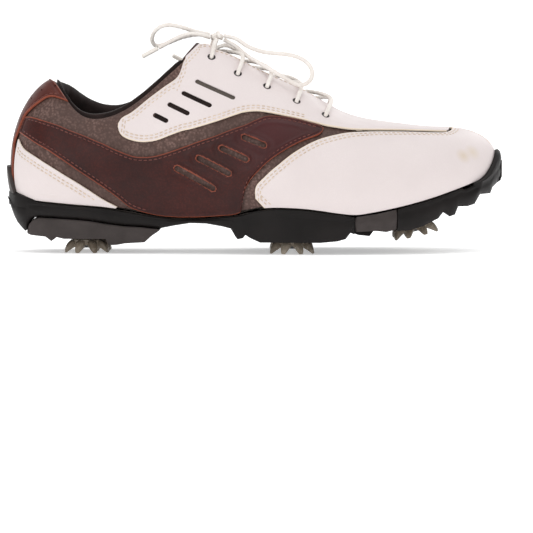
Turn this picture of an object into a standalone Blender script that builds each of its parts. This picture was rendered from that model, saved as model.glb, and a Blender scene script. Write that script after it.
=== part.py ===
"""Golf shoe for the right foot: a leather saddle upper, laced over a tongue, on a cleated sole.

The toe points to +X, the outer (lateral) side faces -Y and the shoe stands on z = 0.
The helpers work in millimetres and write metres.
"""
import math

import bmesh
import bpy
import numpy as np
from mathutils import Matrix, Vector

MM = 0.001
LATERAL = -1
MEDIAL = 1
SIDE_NAMES = {LATERAL: "lateral", MEDIAL: "medial"}
GAP = 0.4                       # clearance between neighbouring pieces
WELD = 0.3                      # points of one sheet closer than this are one point

# Layers, as (inner face, outer face) distances out from the last surface.
OVERLAY = (0.9, 1.9)
BASE = (-1.2, 0.0)
STIFFENER = (-3.0, -2.2)
QUARTER_LINING = (-5.0, -3.9)
TOE_PUFF = (-1.3, -0.2)
VAMP_LINING = (-3.4, -2.4)
HEEL_TAB = (2.1, 4.2)
TOE_BUMPER = (2.2, 5.4)
BUMPER_START = 13.3
PAD_INNER = -9.0

# Rows of the last's control cage from the heel's centre line round to the toe's.
# Each point is (x, half width, z).
FEATHER_ROW = [(-147.5, 0), (-142, 17), (-128, 28), (-108, 32.2), (-80, 32.5), (-55, 33), (-33, 35.5),
               (-12, 40), (8, 45), (30, 49.5), (55, 51.4), (80, 49.8), (105, 43.8), (127, 33.2),
               (141, 19), (147.2, 0)]
BULGE_ROW = [(-155.5, 0, 60), (-149.5, 21.5, 58), (-133, 35, 54), (-109, 40, 50), (-81, 40.5, 48),
             (-57, 41.5, 48), (-36, 43.7, 52), (-16, 48.2, 56), (4, 53, 58), (25, 57, 57),
             (50, 58.7, 53), (77, 56.7, 53), (103, 50.5, 57), (127, 38, 61), (144, 21, 65),
             (150.5, 0, 68)]
SHOULDER_ROW = [(-145.5, 0, 98), (-138.5, 19.5, 94), (-124, 31, 80), (-105, 35, 68), (-82, 37.5, 70),
                (-62, 37.5, 80), (-45, 35.5, 95), (-33, 31, 114), (-20, 26, 126), (3, 28, 113.5),
                (31, 31.5, 99.5), (58, 34, 84.5), (88, 31.5, 78.3), (112, 23, 76.3),
                (128, 12, 75.7), (135, 0, 75.5)]
CROWN_ROW = [(-124, 0, 106.3), (-121.5, 11, 104.6), (-114, 20.5, 93.3), (-102, 27, 84.3),
             (-82, 30, 88.6), (-62, 29.5, 103.4), (-46, 25, 117.5), (-36.5, 13, 126.2),
             (-24, 0, 127.5), (0, 0, 114), (28, 0, 100), (54, 0, 84.8), (82, 0, 78.6),
             (103, 0, 76), (112, 0, 75.6), (117, 0, 75.3)]
MEDIAL_RISE = {2: 6.5, 3: 7.0, 4: 1.0}     # the inner side's collar stands higher, by crown point
HEEL = 0
TOE = len(FEATHER_ROW) - 1
FEATHER_HEIGHT = [(-154, 37), (-147, 34.5), (-141, 33), (-120, 30.8), (-100, 29.3), (-84, 27.4),
                  (-65, 24), (-50, 22), (-30, 22.2), (-10, 24.5), (0, 27.3), (15, 28.5), (30, 27.8),
                  (45, 25.8), (60, 23.8), (75, 26), (90, 29.3), (110, 34.6), (130, 42), (140, 46.8),
                  (145, 50.6), (148, 55), (155, 60)]
SWING = [(-150, 0), (-100, -0.6), (-55, -2), (-12, -3.5), (20, -2.2), (50, 0.5), (80, 2.6),
         (105, 4.2), (150, 6)]

# Sole outlines in the side view, as (x, z).
OUTSOLE_BOTTOM = [(-154.2, 34), (-153.3, 33), (-151.5, 27), (-149.5, 22.5), (-147, 18.5),
                  (-144, 15.4), (-142, 13.5), (-141, 13.9), (-140.2, 16.2), (-139, 19.4),
                  (-137, 21.6), (-133, 22.6), (-120, 21.9), (-110, 21.3),
                  (-100, 20.3), (-90, 18.6), (-80, 17.4), (-70, 16.9), (-58, 15.7), (-50, 17.3),
                  (-40, 18.9), (-30, 18.7), (-20, 17), (-15, 15.8), (-12.5, 11.5), (-11, 9.3),
                  (-7.5, 10), (-6, 12), (-3, 10), (3, 7.4), (40, 7.4), (50, 8.3), (55, 9.7),
                  (58, 13.5), (63, 11.5), (70, 10.8), (73.5, 15.4), (80, 13.9), (85, 14.3),
                  (95, 15), (103, 17.5), (112, 21.8), (115, 25.5), (119, 22.8), (122.5, 24),
                  (124.5, 28.9), (130.5, 28.9), (135, 30.2), (138.5, 36), (145.5, 36.3),
                  (147, 40), (152.5, 44), (153.6, 47)]
HEEL_PLATE_TOP = [(-140.6, 13.4), (-139.3, 17.6), (-137, 20.6), (-133, 21.9), (-120, 21.3), (-110, 20.7),
                  (-100, 19.7), (-90, 18), (-80, 16.8), (-70, 16.3), (-58.6, 15)]
HEEL_PLATE_BOTTOM = [(-140.6, 12), (-138.5, 11), (-129, 10.2), (-125.3, 7.5), (-122, 10),
                     (-117.5, 9), (-92, 9), (-90, 5.2), (-85, 5.4), (-80, 6.3), (-68, 7),
                     (-63.5, 11), (-58.6, 14.4)]
RECESS_FLOOR = [(-140, 29.4), (-130, 26), (-100, 24), (-80, 22), (-60, 20.6), (-45, 20.4),
                (-25, 20.4), (-10, 20.8), (10, 22.5), (30, 22), (60, 20.5), (85, 24), (110, 30.5),
                (128, 38.5)]
RECESS_RANGE = (-138.0, 128.0)
RECESS_INSET = 3.2
SOLE_MARGIN = 3.0
SLAB_MINIMUM = 0.6              # least thickness of a sole piece at its ends
RIM_DROP = 0.9
RIM_TOE_DROP = 1.4              # further drop of the rim under the toe bumper
RIM_TOE_START = 128
RIM_HEEL_END = -146.0           # the rim stays level behind this
BOARD_INSET = 5.6
BOARD_THICKNESS = 1.5
SOCKLINER_THICKNESS = 3.8
SHANK_RANGE = (-84.0, -6.0)
SHANK_HALF_WIDTH = 8.0
FLEX_BLOCK_RANGE = (60.4, 86.8)
FLEX_BLOCK_DEPTH = 17.0
FLEX_BLOCK_BOTTOM = [(60, 14), (73.5, 14.6), (80, 13.9), (86, 15.5)]
MIDSOLE_CLEARANCE = 2.0         # the midsole stays this far from the flex blocks

# Cleats: (name, x, y, height of the tip plane, tilt up toward the toe in degrees).
CLEATS = [("heel_lateral", -104.0, -16.2, 0.0, 0.0), ("heel_medial", -104.0, 16.2, 0.0, 0.0),
          ("ball_lateral", 22.5, -30.5, 0.0, 0.0), ("ball_medial", 22.5, 26.0, 0.0, 0.0),
          ("front_lateral", 99.5, -16.5, 10.2, 12.5), ("front_medial", 99.5, 23.5, 10.2, 12.5)]
CLEAT_LEGS = 8
CLEAT_RADIUS = 14.4
CLEAT_DISC_RADIUS = 9.5
CLEAT_HEIGHT = 8.4
CLEAT_DISC_THICKNESS = 3.4
CLEAT_FOOT = 1.4
RECEPTACLE_RADIUS = 9.0
RECEPTACLE_HEIGHT = 4.6

# Eyelets and slots in the side view, as (x, z).
EYELETS = [(-27.3, 119.3), (-11.2, 109.3), (6.6, 101.2), (24.8, 92.2), (42.4, 83.6)]
EYELET_OUTER = 2.5
EYELET_BORE = 1.9
FACING_SLOTS = [((-35.5, 104.7), (-13.8, 95)), ((-43.7, 97.8), (-28, 90.5)),
                ((-52.2, 91), (-41.5, 85.8)), ((-61, 84.5), (-54.5, 81.3))]
FACING_SLOT_WIDTH = 3.0
SADDLE_SLOTS = [((-47.5, 52.5), (-25.5, 40.5)), ((-34, 58.5), (-16, 49.5)),
                ((-20, 64.5), (-5.5, 58)), ((-6.5, 71), (5.3, 66.3))]
SADDLE_SLOT_WIDTH = 3.4
BACKSTAY_HOLES = [(-123, 101.5), (-131, 99), (-137, 94), (-142, 88.3)]
BACKSTAY_HOLE_RADIUS = 0.7

# The lace and its bow.
LACE_RADIUS = 1.3
OVER_EDGE_LIFT = 4.6
UNDER_EDGE_LIFT = -3.4
KNOT_CENTRE = (-24.0, 0.0, 133.2)
KNOT_SIZE = (4.2, 4.4, 3.4)     # half its length, width and height

COLOURS = {
    "white_leather": ((0.86, 0.79, 0.78), 0.45, 0.0),
    "oxblood_leather": ((0.10, 0.022, 0.020), 0.38, 0.0),
    "tan_oxblood_leather": ((0.21, 0.045, 0.030), 0.42, 0.0),
    "taupe_leather": ((0.13, 0.085, 0.073), 0.60, 0.0),
    "dark_lining": ((0.032, 0.016, 0.014), 0.85, 0.0),
    "board": ((0.45, 0.33, 0.20), 0.80, 0.0),
    "foam": ((0.60, 0.58, 0.52), 0.90, 0.0),
    "stiffener": ((0.55, 0.50, 0.42), 0.75, 0.0),
    "black_rubber": ((0.024, 0.020, 0.019), 0.50, 0.0),
    "grey_plastic": ((0.075, 0.064, 0.061), 0.55, 0.0),
    "smoked_plastic": ((0.30, 0.25, 0.20), 0.30, 0.0),
    "black_plastic": ((0.015, 0.014, 0.014), 0.40, 0.0),
    "spring_steel": ((0.50, 0.50, 0.51), 0.35, 1.0),
    "dark_metal": ((0.06, 0.05, 0.05), 0.40, 1.0),
    "lace_cotton": ((0.76, 0.68, 0.62), 0.85, 0.0),
    "aglet_plastic": ((0.82, 0.78, 0.74), 0.25, 0.0),
}


def height(profile, x):
    """Value of a polyline profile at x."""
    xs = [point[0] for point in profile]
    zs = [point[1] for point in profile]
    return float(np.interp(x, xs, zs))


# ---------------------------------------------------------------- last surface

def cage_ring(row, low):
    """One closed row of the cage: lateral side from heel to toe, then medial side back."""
    ring = []
    for side, order in ((LATERAL, range(HEEL, TOE + 1)), (MEDIAL, range(TOE - 1, HEEL, -1))):
        for index in order:
            x, half_width = row[index][:2]
            z = row[index][2] if len(row[index]) == 3 else height(FEATHER_HEIGHT, x)
            if row is CROWN_ROW and side == MEDIAL:
                z += MEDIAL_RISE.get(index, 0.0)
            swing = height(SWING, x)
            ring.append((x, side * half_width + (swing if low else max(swing, 0.0)), z))
    return np.array(ring, dtype=float)


def ring_slopes(ring):
    """Slopes of the smooth closed curve through a ring of points."""
    count = len(ring)
    matrix = 4.0 * np.eye(count) + np.roll(np.eye(count), 1, 0) + np.roll(np.eye(count), -1, 0)
    return np.linalg.solve(matrix, 3.0 * (np.roll(ring, -1, 0) - np.roll(ring, 1, 0)))


CAGE = [cage_ring(FEATHER_ROW, True), cage_ring(BULGE_ROW, True),
        cage_ring(SHOULDER_ROW, False), cage_ring(CROWN_ROW, False)]
CAGE_SLOPES = [ring_slopes(ring) for ring in CAGE]
RING_COUNT = len(CAGE[0])


def ring_point(row, around):
    """Point of a cage row; around runs 0 (heel) to TOE on the lateral side, negative on the medial."""
    position = around % RING_COUNT
    first = int(position) % RING_COUNT
    second = (first + 1) % RING_COUNT
    f = position - int(position)
    start, end = CAGE[row][first], CAGE[row][second]
    start_slope, end_slope = CAGE_SLOPES[row][first], CAGE_SLOPES[row][second]
    return ((2 * f**3 - 3 * f**2 + 1) * start + (f**3 - 2 * f**2 + f) * start_slope
            + (3 * f**2 - 2 * f**3) * end + (f**3 - f**2) * end_slope)


def bare_last(around, up):
    """Point of the last at (around, up), with up 0 at the feather line and 1 at the crown."""
    rest = 1.0 - up
    return (rest**3 * ring_point(0, around) + 3 * rest**2 * up * ring_point(1, around)
            + 3 * rest * up**2 * ring_point(2, around) + up**3 * ring_point(3, around))


def side_normal(around, up):
    step = 0.02
    low, high = max(up - step, 0.0), min(up + step, 0.985)
    along = bare_last(around + step, min(up, 0.985)) - bare_last(around - step, min(up, 0.985))
    rise = bare_last(around, high) - bare_last(around, low)
    normal = np.cross(along, rise)
    return normal / np.linalg.norm(normal)


def last_normal(around, up):
    """Outward normal of the last; on the ridge, where the two sides meet, it is their mean."""
    normal = side_normal(around, up)
    if up > 0.999 and np.allclose(ring_point(3, around), ring_point(3, -around)):
        normal = normal + side_normal(-around, up)
        normal /= np.linalg.norm(normal)
    return normal


def last(around, up, lift=0.0):
    """Point at a distance lift out from the last."""
    point = bare_last(around, up)
    return point + lift * last_normal(around, up) if lift else point


def seed_grid(side):
    """Coarse samples of one side of the last, where a search starts."""
    arounds = np.linspace(0.0, TOE, 4 * TOE + 1)
    ups = np.linspace(0.0, 1.0, 21)
    places = [(-side * around, up) for around in arounds for up in ups]
    return places, np.array([bare_last(*place) for place in places])


SEEDS = {LATERAL: seed_grid(LATERAL), MEDIAL: seed_grid(MEDIAL)}


def locate(side, x, z=None, y=None):
    """(around, up) of the surface point with this x and this z, or this x and this y."""
    axes = (0, 2) if y is None else (0, 1)
    target = np.array([x, z if y is None else y])
    places, points = SEEDS[side]
    best = int(np.argmin(((points[:, axes] - target)**2).sum(axis=1)))
    place = np.array(places[best])
    step = 1e-3
    for _ in range(12):
        here = bare_last(*place)[list(axes)]
        slope_around = (bare_last(place[0] + step, place[1])[list(axes)] - here) / step
        slope_up = (bare_last(place[0], place[1] + step)[list(axes)] - here) / step
        matrix = np.stack([slope_around, slope_up], axis=1)
        change = np.linalg.lstsq(matrix, target - here, rcond=0.02)[0]
        place = place + np.clip(change, -0.4, 0.4)
        place[1] = min(max(place[1], 0.0), 1.0)
    return place[0], place[1]


def smooth_path(points, count):
    """count points along a smooth open curve through points."""
    points = np.array(points, dtype=float)
    padded = np.vstack([2 * points[0] - points[1], points, 2 * points[-1] - points[-2]])
    path = []
    for sample in np.linspace(0.0, len(points) - 1, count):
        k = min(int(sample), len(points) - 2)
        f = sample - k
        before, start, end, after = padded[k:k + 4]
        path.append(0.5 * (2 * start + (end - before) * f
                           + (2 * before - 5 * start + 4 * end - after) * f**2
                           + (3 * start - before - 3 * end + after) * f**3))
    return np.array(path)


# ---------------------------------------------------------------- scene helpers

def clear_scene():
    for item in list(bpy.data.objects):
        bpy.data.objects.remove(item, do_unlink=True)


def new_collection(name):
    collection = bpy.data.collections.new(name)
    bpy.context.scene.collection.children.link(collection)
    return collection


def material(name):
    """The material of this name, made on first use."""
    if name in bpy.data.materials:
        return bpy.data.materials[name]
    colour, roughness, metallic = COLOURS[name]
    made = bpy.data.materials.new(name)
    made.use_nodes = True
    shader = made.node_tree.nodes["Principled BSDF"]
    shader.inputs["Base Color"].default_value = (*colour, 1.0)
    shader.inputs["Roughness"].default_value = roughness
    shader.inputs["Metallic"].default_value = metallic
    return made


def add_object(name, data, material_name, collection=None, smooth=True):
    item = bpy.data.objects.new(name, data)
    (collection or PARTS).objects.link(item)
    if material_name:
        data.materials.append(material(material_name))
    if smooth and hasattr(data, "polygons"):
        data.polygons.foreach_set("use_smooth", [True] * len(data.polygons))
    return item


def mesh_from(name, verts, faces):
    mesh = bpy.data.meshes.new(name)
    mesh.from_pydata([tuple(float(c) * MM for c in vert) for vert in verts], [], faces)
    mesh.update()
    return mesh


def mesh_from_bmesh(name, bm):
    mesh = bpy.data.meshes.new(name)
    bm.to_mesh(mesh)
    bm.free()
    return mesh


def add_cutter(name, bm):
    """A cutter, in its own collection, out of the render."""
    cutter = add_object(name, mesh_from_bmesh(name, bm), None, CUTTERS, smooth=False)
    cutter.display_type = "WIRE"
    cutter.hide_render = True
    return cutter


def move_to_cutters(item):
    """Use a part's body as a tool only."""
    PARTS.objects.unlink(item)
    CUTTERS.objects.link(item)
    item.display_type = "WIRE"
    item.hide_render = True


def boolean(item, other, operation="DIFFERENCE"):
    modifier = item.modifiers.new("boolean_" + other.name, "BOOLEAN")
    modifier.operation = operation
    modifier.object = other


def cylinder_into(bm, centre, axis, radius, depth, segments=20):
    """Add a closed cylinder to bm; returns its vertices."""
    turn = Vector(axis).to_track_quat("Z", "Y").to_matrix().to_4x4()
    place = Matrix.Translation(Vector([float(c) * MM for c in centre])) @ turn
    made = bmesh.ops.create_cone(bm, cap_ends=True, segments=segments, radius1=radius * MM,
                                 radius2=radius * MM, depth=depth * MM, matrix=place)
    return made["verts"]


def slot_into(bm, side, start, end, width):
    """Add a round-ended slot cutter, square to the surface, between two side-view points."""
    places = locate(side, *start), locate(side, *end)
    normal = last_normal(*places[0]) + last_normal(*places[1])
    turn = Vector(normal).to_track_quat("Z", "Y")
    cloud = bmesh.new()
    for place in places:
        centre = Vector(last(*place, lift=0.6))
        for k in range(8):
            angle = math.tau * k / 8
            for depth in (-5.0, 5.0):
                corner = Vector((math.cos(angle) * width / 2, math.sin(angle) * width / 2, depth))
                cloud.verts.new((centre + turn @ corner) * MM)
    bmesh.ops.convex_hull(cloud, input=cloud.verts)
    loose = [vert for vert in cloud.verts if not vert.link_faces]
    bmesh.ops.delete(cloud, geom=loose, context="VERTS")
    mesh = mesh_from_bmesh("slot", cloud)
    bm.from_mesh(mesh)
    bpy.data.meshes.remove(mesh)


# ---------------------------------------------------------------- sheets on the last

def sheet_grid(columns, count, rows):
    """Grid of (around, up) places between the lower and upper ends of the key columns."""
    lower = smooth_path([column[0] for column in columns], count)
    upper = smooth_path([column[1] for column in columns], count)
    blend = np.linspace(0.0, 1.0, rows)
    upper[:, 1] = np.where(upper[:, 1] > RIDGE_SNAP, 1.0, upper[:, 1])
    return [[(low * (1 - f) + high * f) for f in blend] for low, high in zip(lower, upper)]


def add_sheet(name, grids, layer, material_name):
    """A closed sheet between the two faces of layer, on one or more joined grids of places."""
    bm = bmesh.new()
    inner_face, outer_face = layer
    for grid in grids:
        rows = []
        for column in grid:
            rows.append([bm.verts.new([c * MM for c in last(around, up, inner_face)])
                         for around, up in column])
        for left, right in zip(rows, rows[1:]):
            for k in range(len(left) - 1):
                bm.faces.new((left[k], right[k], right[k + 1], left[k + 1]))
    bmesh.ops.remove_doubles(bm, verts=bm.verts, dist=WELD * MM)
    bmesh.ops.dissolve_degenerate(bm, edges=bm.edges, dist=0.01 * MM)
    bmesh.ops.recalc_face_normals(bm, faces=bm.faces)
    bm.faces.ensure_lookup_table()
    probe = bm.faces[0]
    outward = probe.calc_center_median() - Vector((probe.calc_center_median().x, 0.0, 0.045))
    if probe.normal.dot(outward) < 0:
        bmesh.ops.reverse_faces(bm, faces=bm.faces)
    item = add_object(name, mesh_from_bmesh(name, bm), material_name)
    solid = item.modifiers.new("thickness", "SOLIDIFY")
    solid.thickness = (outer_face - inner_face) * MM
    solid.offset = 1.0
    return item


def side_columns(side, pairs):
    """Key columns on one side from (lower, upper) pairs of side-view points (x, z).

    A third value of "plan" marks a point given as (x, half width), "cage" one given as (around, up).
    """
    columns = []
    for pair in pairs:
        column = []
        for point in pair:
            if len(point) == 2:
                column.append(locate(side, point[0], z=point[1]))
            elif point[2] == "plan":
                column.append(locate(side, point[0], y=side * point[1]))
            else:
                column.append((-side * point[0], point[1]))
        columns.append(column)
    return columns


# ---------------------------------------------------------------- upper

THROAT = [(-24, 12.0, "plan"), (-12, 11.0, "plan"), (0, 10.4, "plan"), (14, 9.8, "plan"),
          (27, 9.2, "plan"), (37, 8.2, "plan"), (44, 5.6, "plan"), (48.5, 0.6, "plan")]
FACING_PAIRS = [((-84, 77.6), (-83.8, 79.4)), ((-82.4, 73.2), (-81.2, 83)),
                ((-78, 70.2), (-75.6, 86.2)), ((-70, 68.4), (-66, 94)),
                ((-61, 69.2), (-56, 101.6)), ((-52, 72.5), (-47.5, 108.2)),
                ((-45, 75), (-44.2, 117.2)), ((-39, 76.3), (-41.5, 123.6)),
                ((-33, 78), (-36.5, 126.6)), ((-27, 79.8), (-30, 127.2)), ((-20, 82), THROAT[0]),
                ((-13, 84.4), THROAT[1]), ((-5, 86.5), THROAT[2]), ((5, 86.4), THROAT[3]),
                ((16, 84.2), THROAT[4]), ((27, 81.8), THROAT[5]), ((36, 79.4), THROAT[6]),
                ((44, 77.4), THROAT[7]), ((56, 75.4), (11.2, 1.0, "cage")),
                ((70, 74.6), (11.7, 1.0, "cage")), ((84, 74.4), (12.2, 1.0, "cage")),
                ((98, 74), (12.8, 1.0, "cage")), ((109, 73.6), (13.8, 1.0, "cage")),
                ((118, 8.0, "plan"), (15.0, 1.0, "cage"))]
TOE_GUARD_PAIRS = [((5.5, 28.9), (0.2, 34.6)), ((14, 29.3), (0.6, 41.6)), ((22, 29.1), (6.6, 48.2)),
                   ((32, 28.4), (15.2, 55.6)), ((42, 27.1), (25, 62.9)), ((52, 25.6), (36, 68.6)),
                   ((62, 24.9), (48, 72)), ((72, 26.4), (60, 73.4))]
SADDLE_PAIRS = [((-144.2, 73.4), (-140.4, 83.2)), ((-135, 67.7), (-130, 81.2)),
                ((-125, 61.9), (-118, 77)), ((-115, 55.3), (-106, 72.4)), ((-105, 48.7), (-95, 68)),
                ((-95, 42.2), (-85, 63.6)), ((-85, 35.3), (-75, 60)), ((-76, 28.6), (-67, 59.4)),
                ((-64, 24.8), (-60, 60.3)), ((-50, 23), (-48, 64)), ((-35, 22.9), (-36, 68.3)),
                ((-21, 23.8), (-22, 73)), ((-9.5, 25.8), (-8, 78)), ((-8.4, 33), (0, 81.4)),
                ((-4.2, 43.5), (8, 83.8)), ((4.6, 53.4), (18, 83.1)), ((15, 61.5), (27, 81.2)),
                ((27, 68), (34, 79.2)), ((37.6, 71.9), (39, 77.8)), ((41, 74.4), (41.4, 76.2))]
HEEL_PANEL_PAIRS = [((0.62, 0.045, "cage"), (0.74, 0.43, "cage")), ((-142, 34), (-141.5, 64)),
                    ((-135, 32.9), (-133, 58.4)), ((-125, 31.9), (-122, 51.6)),
                    ((-115, 31), (-111, 45)), ((-105, 30.2), (-102, 39.4)), ((-95, 29.4), (-93, 33.6)),
                    ((-85.5, 28.2), (-84.5, 29.2))]
BACKSTAY_PAIRS = [((0.0, 0.08, "cage"), (0.54, 0.08, "cage")), ((0.0, 0.2, "cage"), (0.54, 0.2, "cage")),
                  ((0.0, 0.33, "cage"), (0.58, 0.33, "cage")),
                  ((0.0, 0.45, "cage"), (-147.6, 67)), ((0.0, 0.54, "cage"), (-145.6, 73)),
                  ((0.0, 0.62, "cage"), (-143, 79.5)), ((0.0, 0.70, "cage"), (-140.6, 84.4)),
                  ((0.0, 0.77, "cage"), (-137, 88.2)), ((0.0, 0.84, "cage"), (-132.2, 92)),
                  ((0.0, 0.90, "cage"), (-125.6, 95.4)), ((0.0, 0.96, "cage"), (1.98, 0.97, "cage"))]
QUARTER_PAIRS = [((0.03, 0.02, "cage"), (0.03, 0.98, "cage")), ((0.7, 0.02, "cage"), (0.7, 0.98, "cage")),
                 ((1.4, 0.02, "cage"), (1.4, 0.98, "cage")), ((2.1, 0.02, "cage"), (2.1, 0.98, "cage")),
                 ((3, 0.02, "cage"), (3, 0.98, "cage")),
                 ((4, 0.02, "cage"), (4, 0.98, "cage")), ((5.2, 0.02, "cage"), (5.2, 0.98, "cage")),
                 ((6.4, 0.02, "cage"), (6.1, 0.98, "cage")),
                 ((7.4, 0.02, "cage"), (6.9, 0.965, "cage")),
                 ((8.4, 0.02, "cage"), (-27, 13.4, "plan")), ((9.2, 0.02, "cage"), (-3, 12.0, "plan")),
                 ((9.9, 0.02, "cage"), (20, 11.2, "plan")), ((10.5, 0.02, "cage"), (40, 9.4, "plan")),
                 ((11.0, 0.02, "cage"), (56, 9.0, "plan"))]
COLLAR_SPAN = 6.3
COLLAR_TAPER = 0.55             # the pad thins over this much of around at each end
RIDGE_SNAP = 0.988              # places above this height on the last move to its crown


def facing_holes(side, bm, radius):
    """Add the cutters for the eyelets of one facing."""
    for eyelet in EYELETS:
        place = locate(side, *eyelet)
        cylinder_into(bm, last(*place, lift=0.0), last_normal(*place), radius, 9.0, segments=10)


def make_vamp_and_facings():
    grids = [sheet_grid(side_columns(side, FACING_PAIRS), 34, 5) for side in (LATERAL, MEDIAL)]
    item = add_sheet("vamp_and_facings", grids, OVERLAY, "white_leather")
    bm = bmesh.new()
    for side in (LATERAL, MEDIAL):
        facing_holes(side, bm, EYELET_OUTER + 0.15)
        for start, end in FACING_SLOTS:
            slot_into(bm, side, start, end, FACING_SLOT_WIDTH)
    boolean(item, add_cutter("facing_cutter", bm))


def make_toe_guard():
    """The white leather that wraps the toe, below the vamp's seam."""
    pairs = list(TOE_GUARD_PAIRS)
    pairs += [((11.6, 0.012, "cage"), (72, 73.5)), ((12.3, 0.012, "cage"), (84.6, 73.3)),
              ((13.0, 0.012, "cage"), (98.8, 72.9)), ((13.8, 0.012, "cage"), (110, 72.5)),
              ((14.5, 0.012, "cage"), (118.9, 8.5, "plan"))]
    lateral = side_columns(LATERAL, pairs)
    medial = side_columns(MEDIAL, pairs)
    tip = [[(TOE, 0.012), locate(LATERAL, 120.4, y=4.4)]]
    medial_tip = [[(-TOE, 0.012), (-RING_COUNT + tip[0][1][0], tip[0][1][1])]]
    grids = [sheet_grid(lateral + tip, 24, 5), sheet_grid(medial + medial_tip, 24, 5)]
    add_sheet("toe_guard", grids, OVERLAY, "white_leather")


def make_saddle(side):
    name = "saddle_" + SIDE_NAMES[side]
    item = add_sheet(name, [sheet_grid(side_columns(side, SADDLE_PAIRS), 30, 5)], OVERLAY,
                     "oxblood_leather")
    bm = bmesh.new()
    for start, end in SADDLE_SLOTS:
        slot_into(bm, side, start, end, SADDLE_SLOT_WIDTH)
    boolean(item, add_cutter(name + "_cutter", bm))


def make_heel_panel(side):
    add_sheet("heel_panel_" + SIDE_NAMES[side],
              [sheet_grid(side_columns(side, HEEL_PANEL_PAIRS), 13, 4)], OVERLAY, "white_leather")


def make_backstay():
    grids = [sheet_grid(side_columns(side, BACKSTAY_PAIRS), 14, 5) for side in (LATERAL, MEDIAL)]
    item = add_sheet("backstay", grids, OVERLAY, "tan_oxblood_leather")
    bm = bmesh.new()
    for side in (LATERAL, MEDIAL):
        for x, z in BACKSTAY_HOLES:
            place = locate(side, x, z=z)
            cylinder_into(bm, last(*place, lift=1.0), last_normal(*place), BACKSTAY_HOLE_RADIUS, 3.0,
                          segments=8)
    boolean(item, add_cutter("backstay_cutter", bm))


def make_quarter(side):
    """One half of the base shell, joined to the other at the heel's centre line."""
    name = "quarter_" + SIDE_NAMES[side]
    item = add_sheet(name, [sheet_grid(side_columns(side, QUARTER_PAIRS), 27, 8)], BASE,
                     "taupe_leather")
    bm = bmesh.new()
    facing_holes(side, bm, EYELET_OUTER + 0.15)
    boolean(item, add_cutter(name + "_cutter", bm))


def cage_grid(around_span, ups, count, rows):
    """Grid of places over a whole band of the last, ups given as (lower, upper)."""
    return [[(around, up) for up in np.linspace(ups[0], ups[1], rows)]
            for around in np.linspace(-around_span, around_span, count)]


def make_inner_layers():
    add_sheet("heel_counter", [cage_grid(3.2, (0.06, 0.60), 19, 5)], STIFFENER, "stiffener")
    add_sheet("quarter_lining", [cage_grid(5.8, (0.09, 0.70), 25, 5)], QUARTER_LINING, "dark_lining")
    toe = [[(around, up) for up in np.linspace(0.08, 0.86, 5)]
           for around in np.linspace(12.4, RING_COUNT - 12.4, 13)]
    add_sheet("toe_puff", [toe], TOE_PUFF, "stiffener")
    forefoot = [[(around, up) for up in np.linspace(0.09, 0.93, 6)]
                for around in np.linspace(11.3, RING_COUNT - 11.3, 19)]
    add_sheet("vamp_lining", [forefoot], VAMP_LINING, "dark_lining")


def make_collar_pad():
    """The soft roll round the ankle opening, in its lining."""
    profile = [(0.73, -2.4), (0.86, -2.8), (0.985, -2.5), (1.0, -2.4), (1.0, -5.0), (0.985, -8.2),
               (0.90, PAD_INNER), (0.80, -7.5), (0.73, -4.4)]
    rise = [0.0, 0.0, 0.0, 2.0, 3.4, 1.6, 0.0, 0.0, 0.0]
    sections = []
    for around in np.linspace(-COLLAR_SPAN, COLLAR_SPAN, 33):
        thinned = min((COLLAR_SPAN - abs(around)) / COLLAR_TAPER, 1.0)
        share = 0.35 + 0.65 * thinned
        sections.append([last(around, up, profile[0][1] + (lift - profile[0][1]) * share)
                         + np.array([0, 0, lift_z * share])
                         for (up, lift), lift_z in zip(profile, rise)])
    add_loft("collar_pad", sections, "dark_lining")


def add_loft(name, sections, material_name):
    """A closed solid through closed sections with the same number of points."""
    bm = bmesh.new()
    loops = [[bm.verts.new([float(c) * MM for c in point]) for point in section]
             for section in sections]
    size = len(loops[0])
    for left, right in zip(loops, loops[1:]):
        for k in range(size):
            bm.faces.new((left[k], left[(k + 1) % size], right[(k + 1) % size], right[k]))
    bm.faces.new(loops[0][::-1])
    bm.faces.new(loops[-1])
    bmesh.ops.recalc_face_normals(bm, faces=bm.faces)
    return add_object(name, mesh_from_bmesh(name, bm), material_name)


TONGUE_LINE = [(58, 78.6, 13.0), (46, 84.2, 16.0), (30, 93.4, 19.0), (12, 102.6, 21.0),
               (-6, 111.2, 22.5), (-18, 117.6, 24.0), (-27, 123.4, 24.6), (-35.6, 130.6, 23.0)]
TONGUE_DROP = 0.030


def tongue_sections(top_lift, thickness):
    """Sections across the tongue, from the vamp to its free top edge."""
    line = smooth_path(TONGUE_LINE, 15)
    across = np.linspace(-1.0, 1.0, 9)
    sections = []
    for k, (x, z, half_width) in enumerate(line):
        ahead, behind = line[max(k - 1, 0)], line[min(k + 1, len(line) - 1)]
        slope = math.atan2(behind[1] - ahead[1], ahead[0] - behind[0])
        up = np.array([math.sin(slope), 0.0, math.cos(slope)])
        closing = 1.0 if k < len(line) - 3 else (1.0, 0.93, 0.8)[k - len(line) + 3]
        outer, inner = [], []
        for f in across:
            y = f * half_width * closing
            lean = np.array([0, math.copysign(min(abs(2 * TONGUE_DROP * y), 0.9), y), 1.0])
            lean /= np.linalg.norm(lean)
            normal = up * lean[2] + np.array([0, lean[1], 0])
            spot = np.array([x, y, z]) - up * TONGUE_DROP * y * y
            edge = 1.0 - 0.55 * abs(f)**6
            outer.append(spot + normal * top_lift)
            inner.append(spot + normal * (top_lift - thickness * edge))
        sections.append(outer + inner[::-1])
    return sections


def make_tongue():
    add_loft("tongue", tongue_sections(-0.6, 3.4), "oxblood_leather")
    add_loft("tongue_lining", tongue_sections(-4.4, 1.0), "dark_lining")


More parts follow.
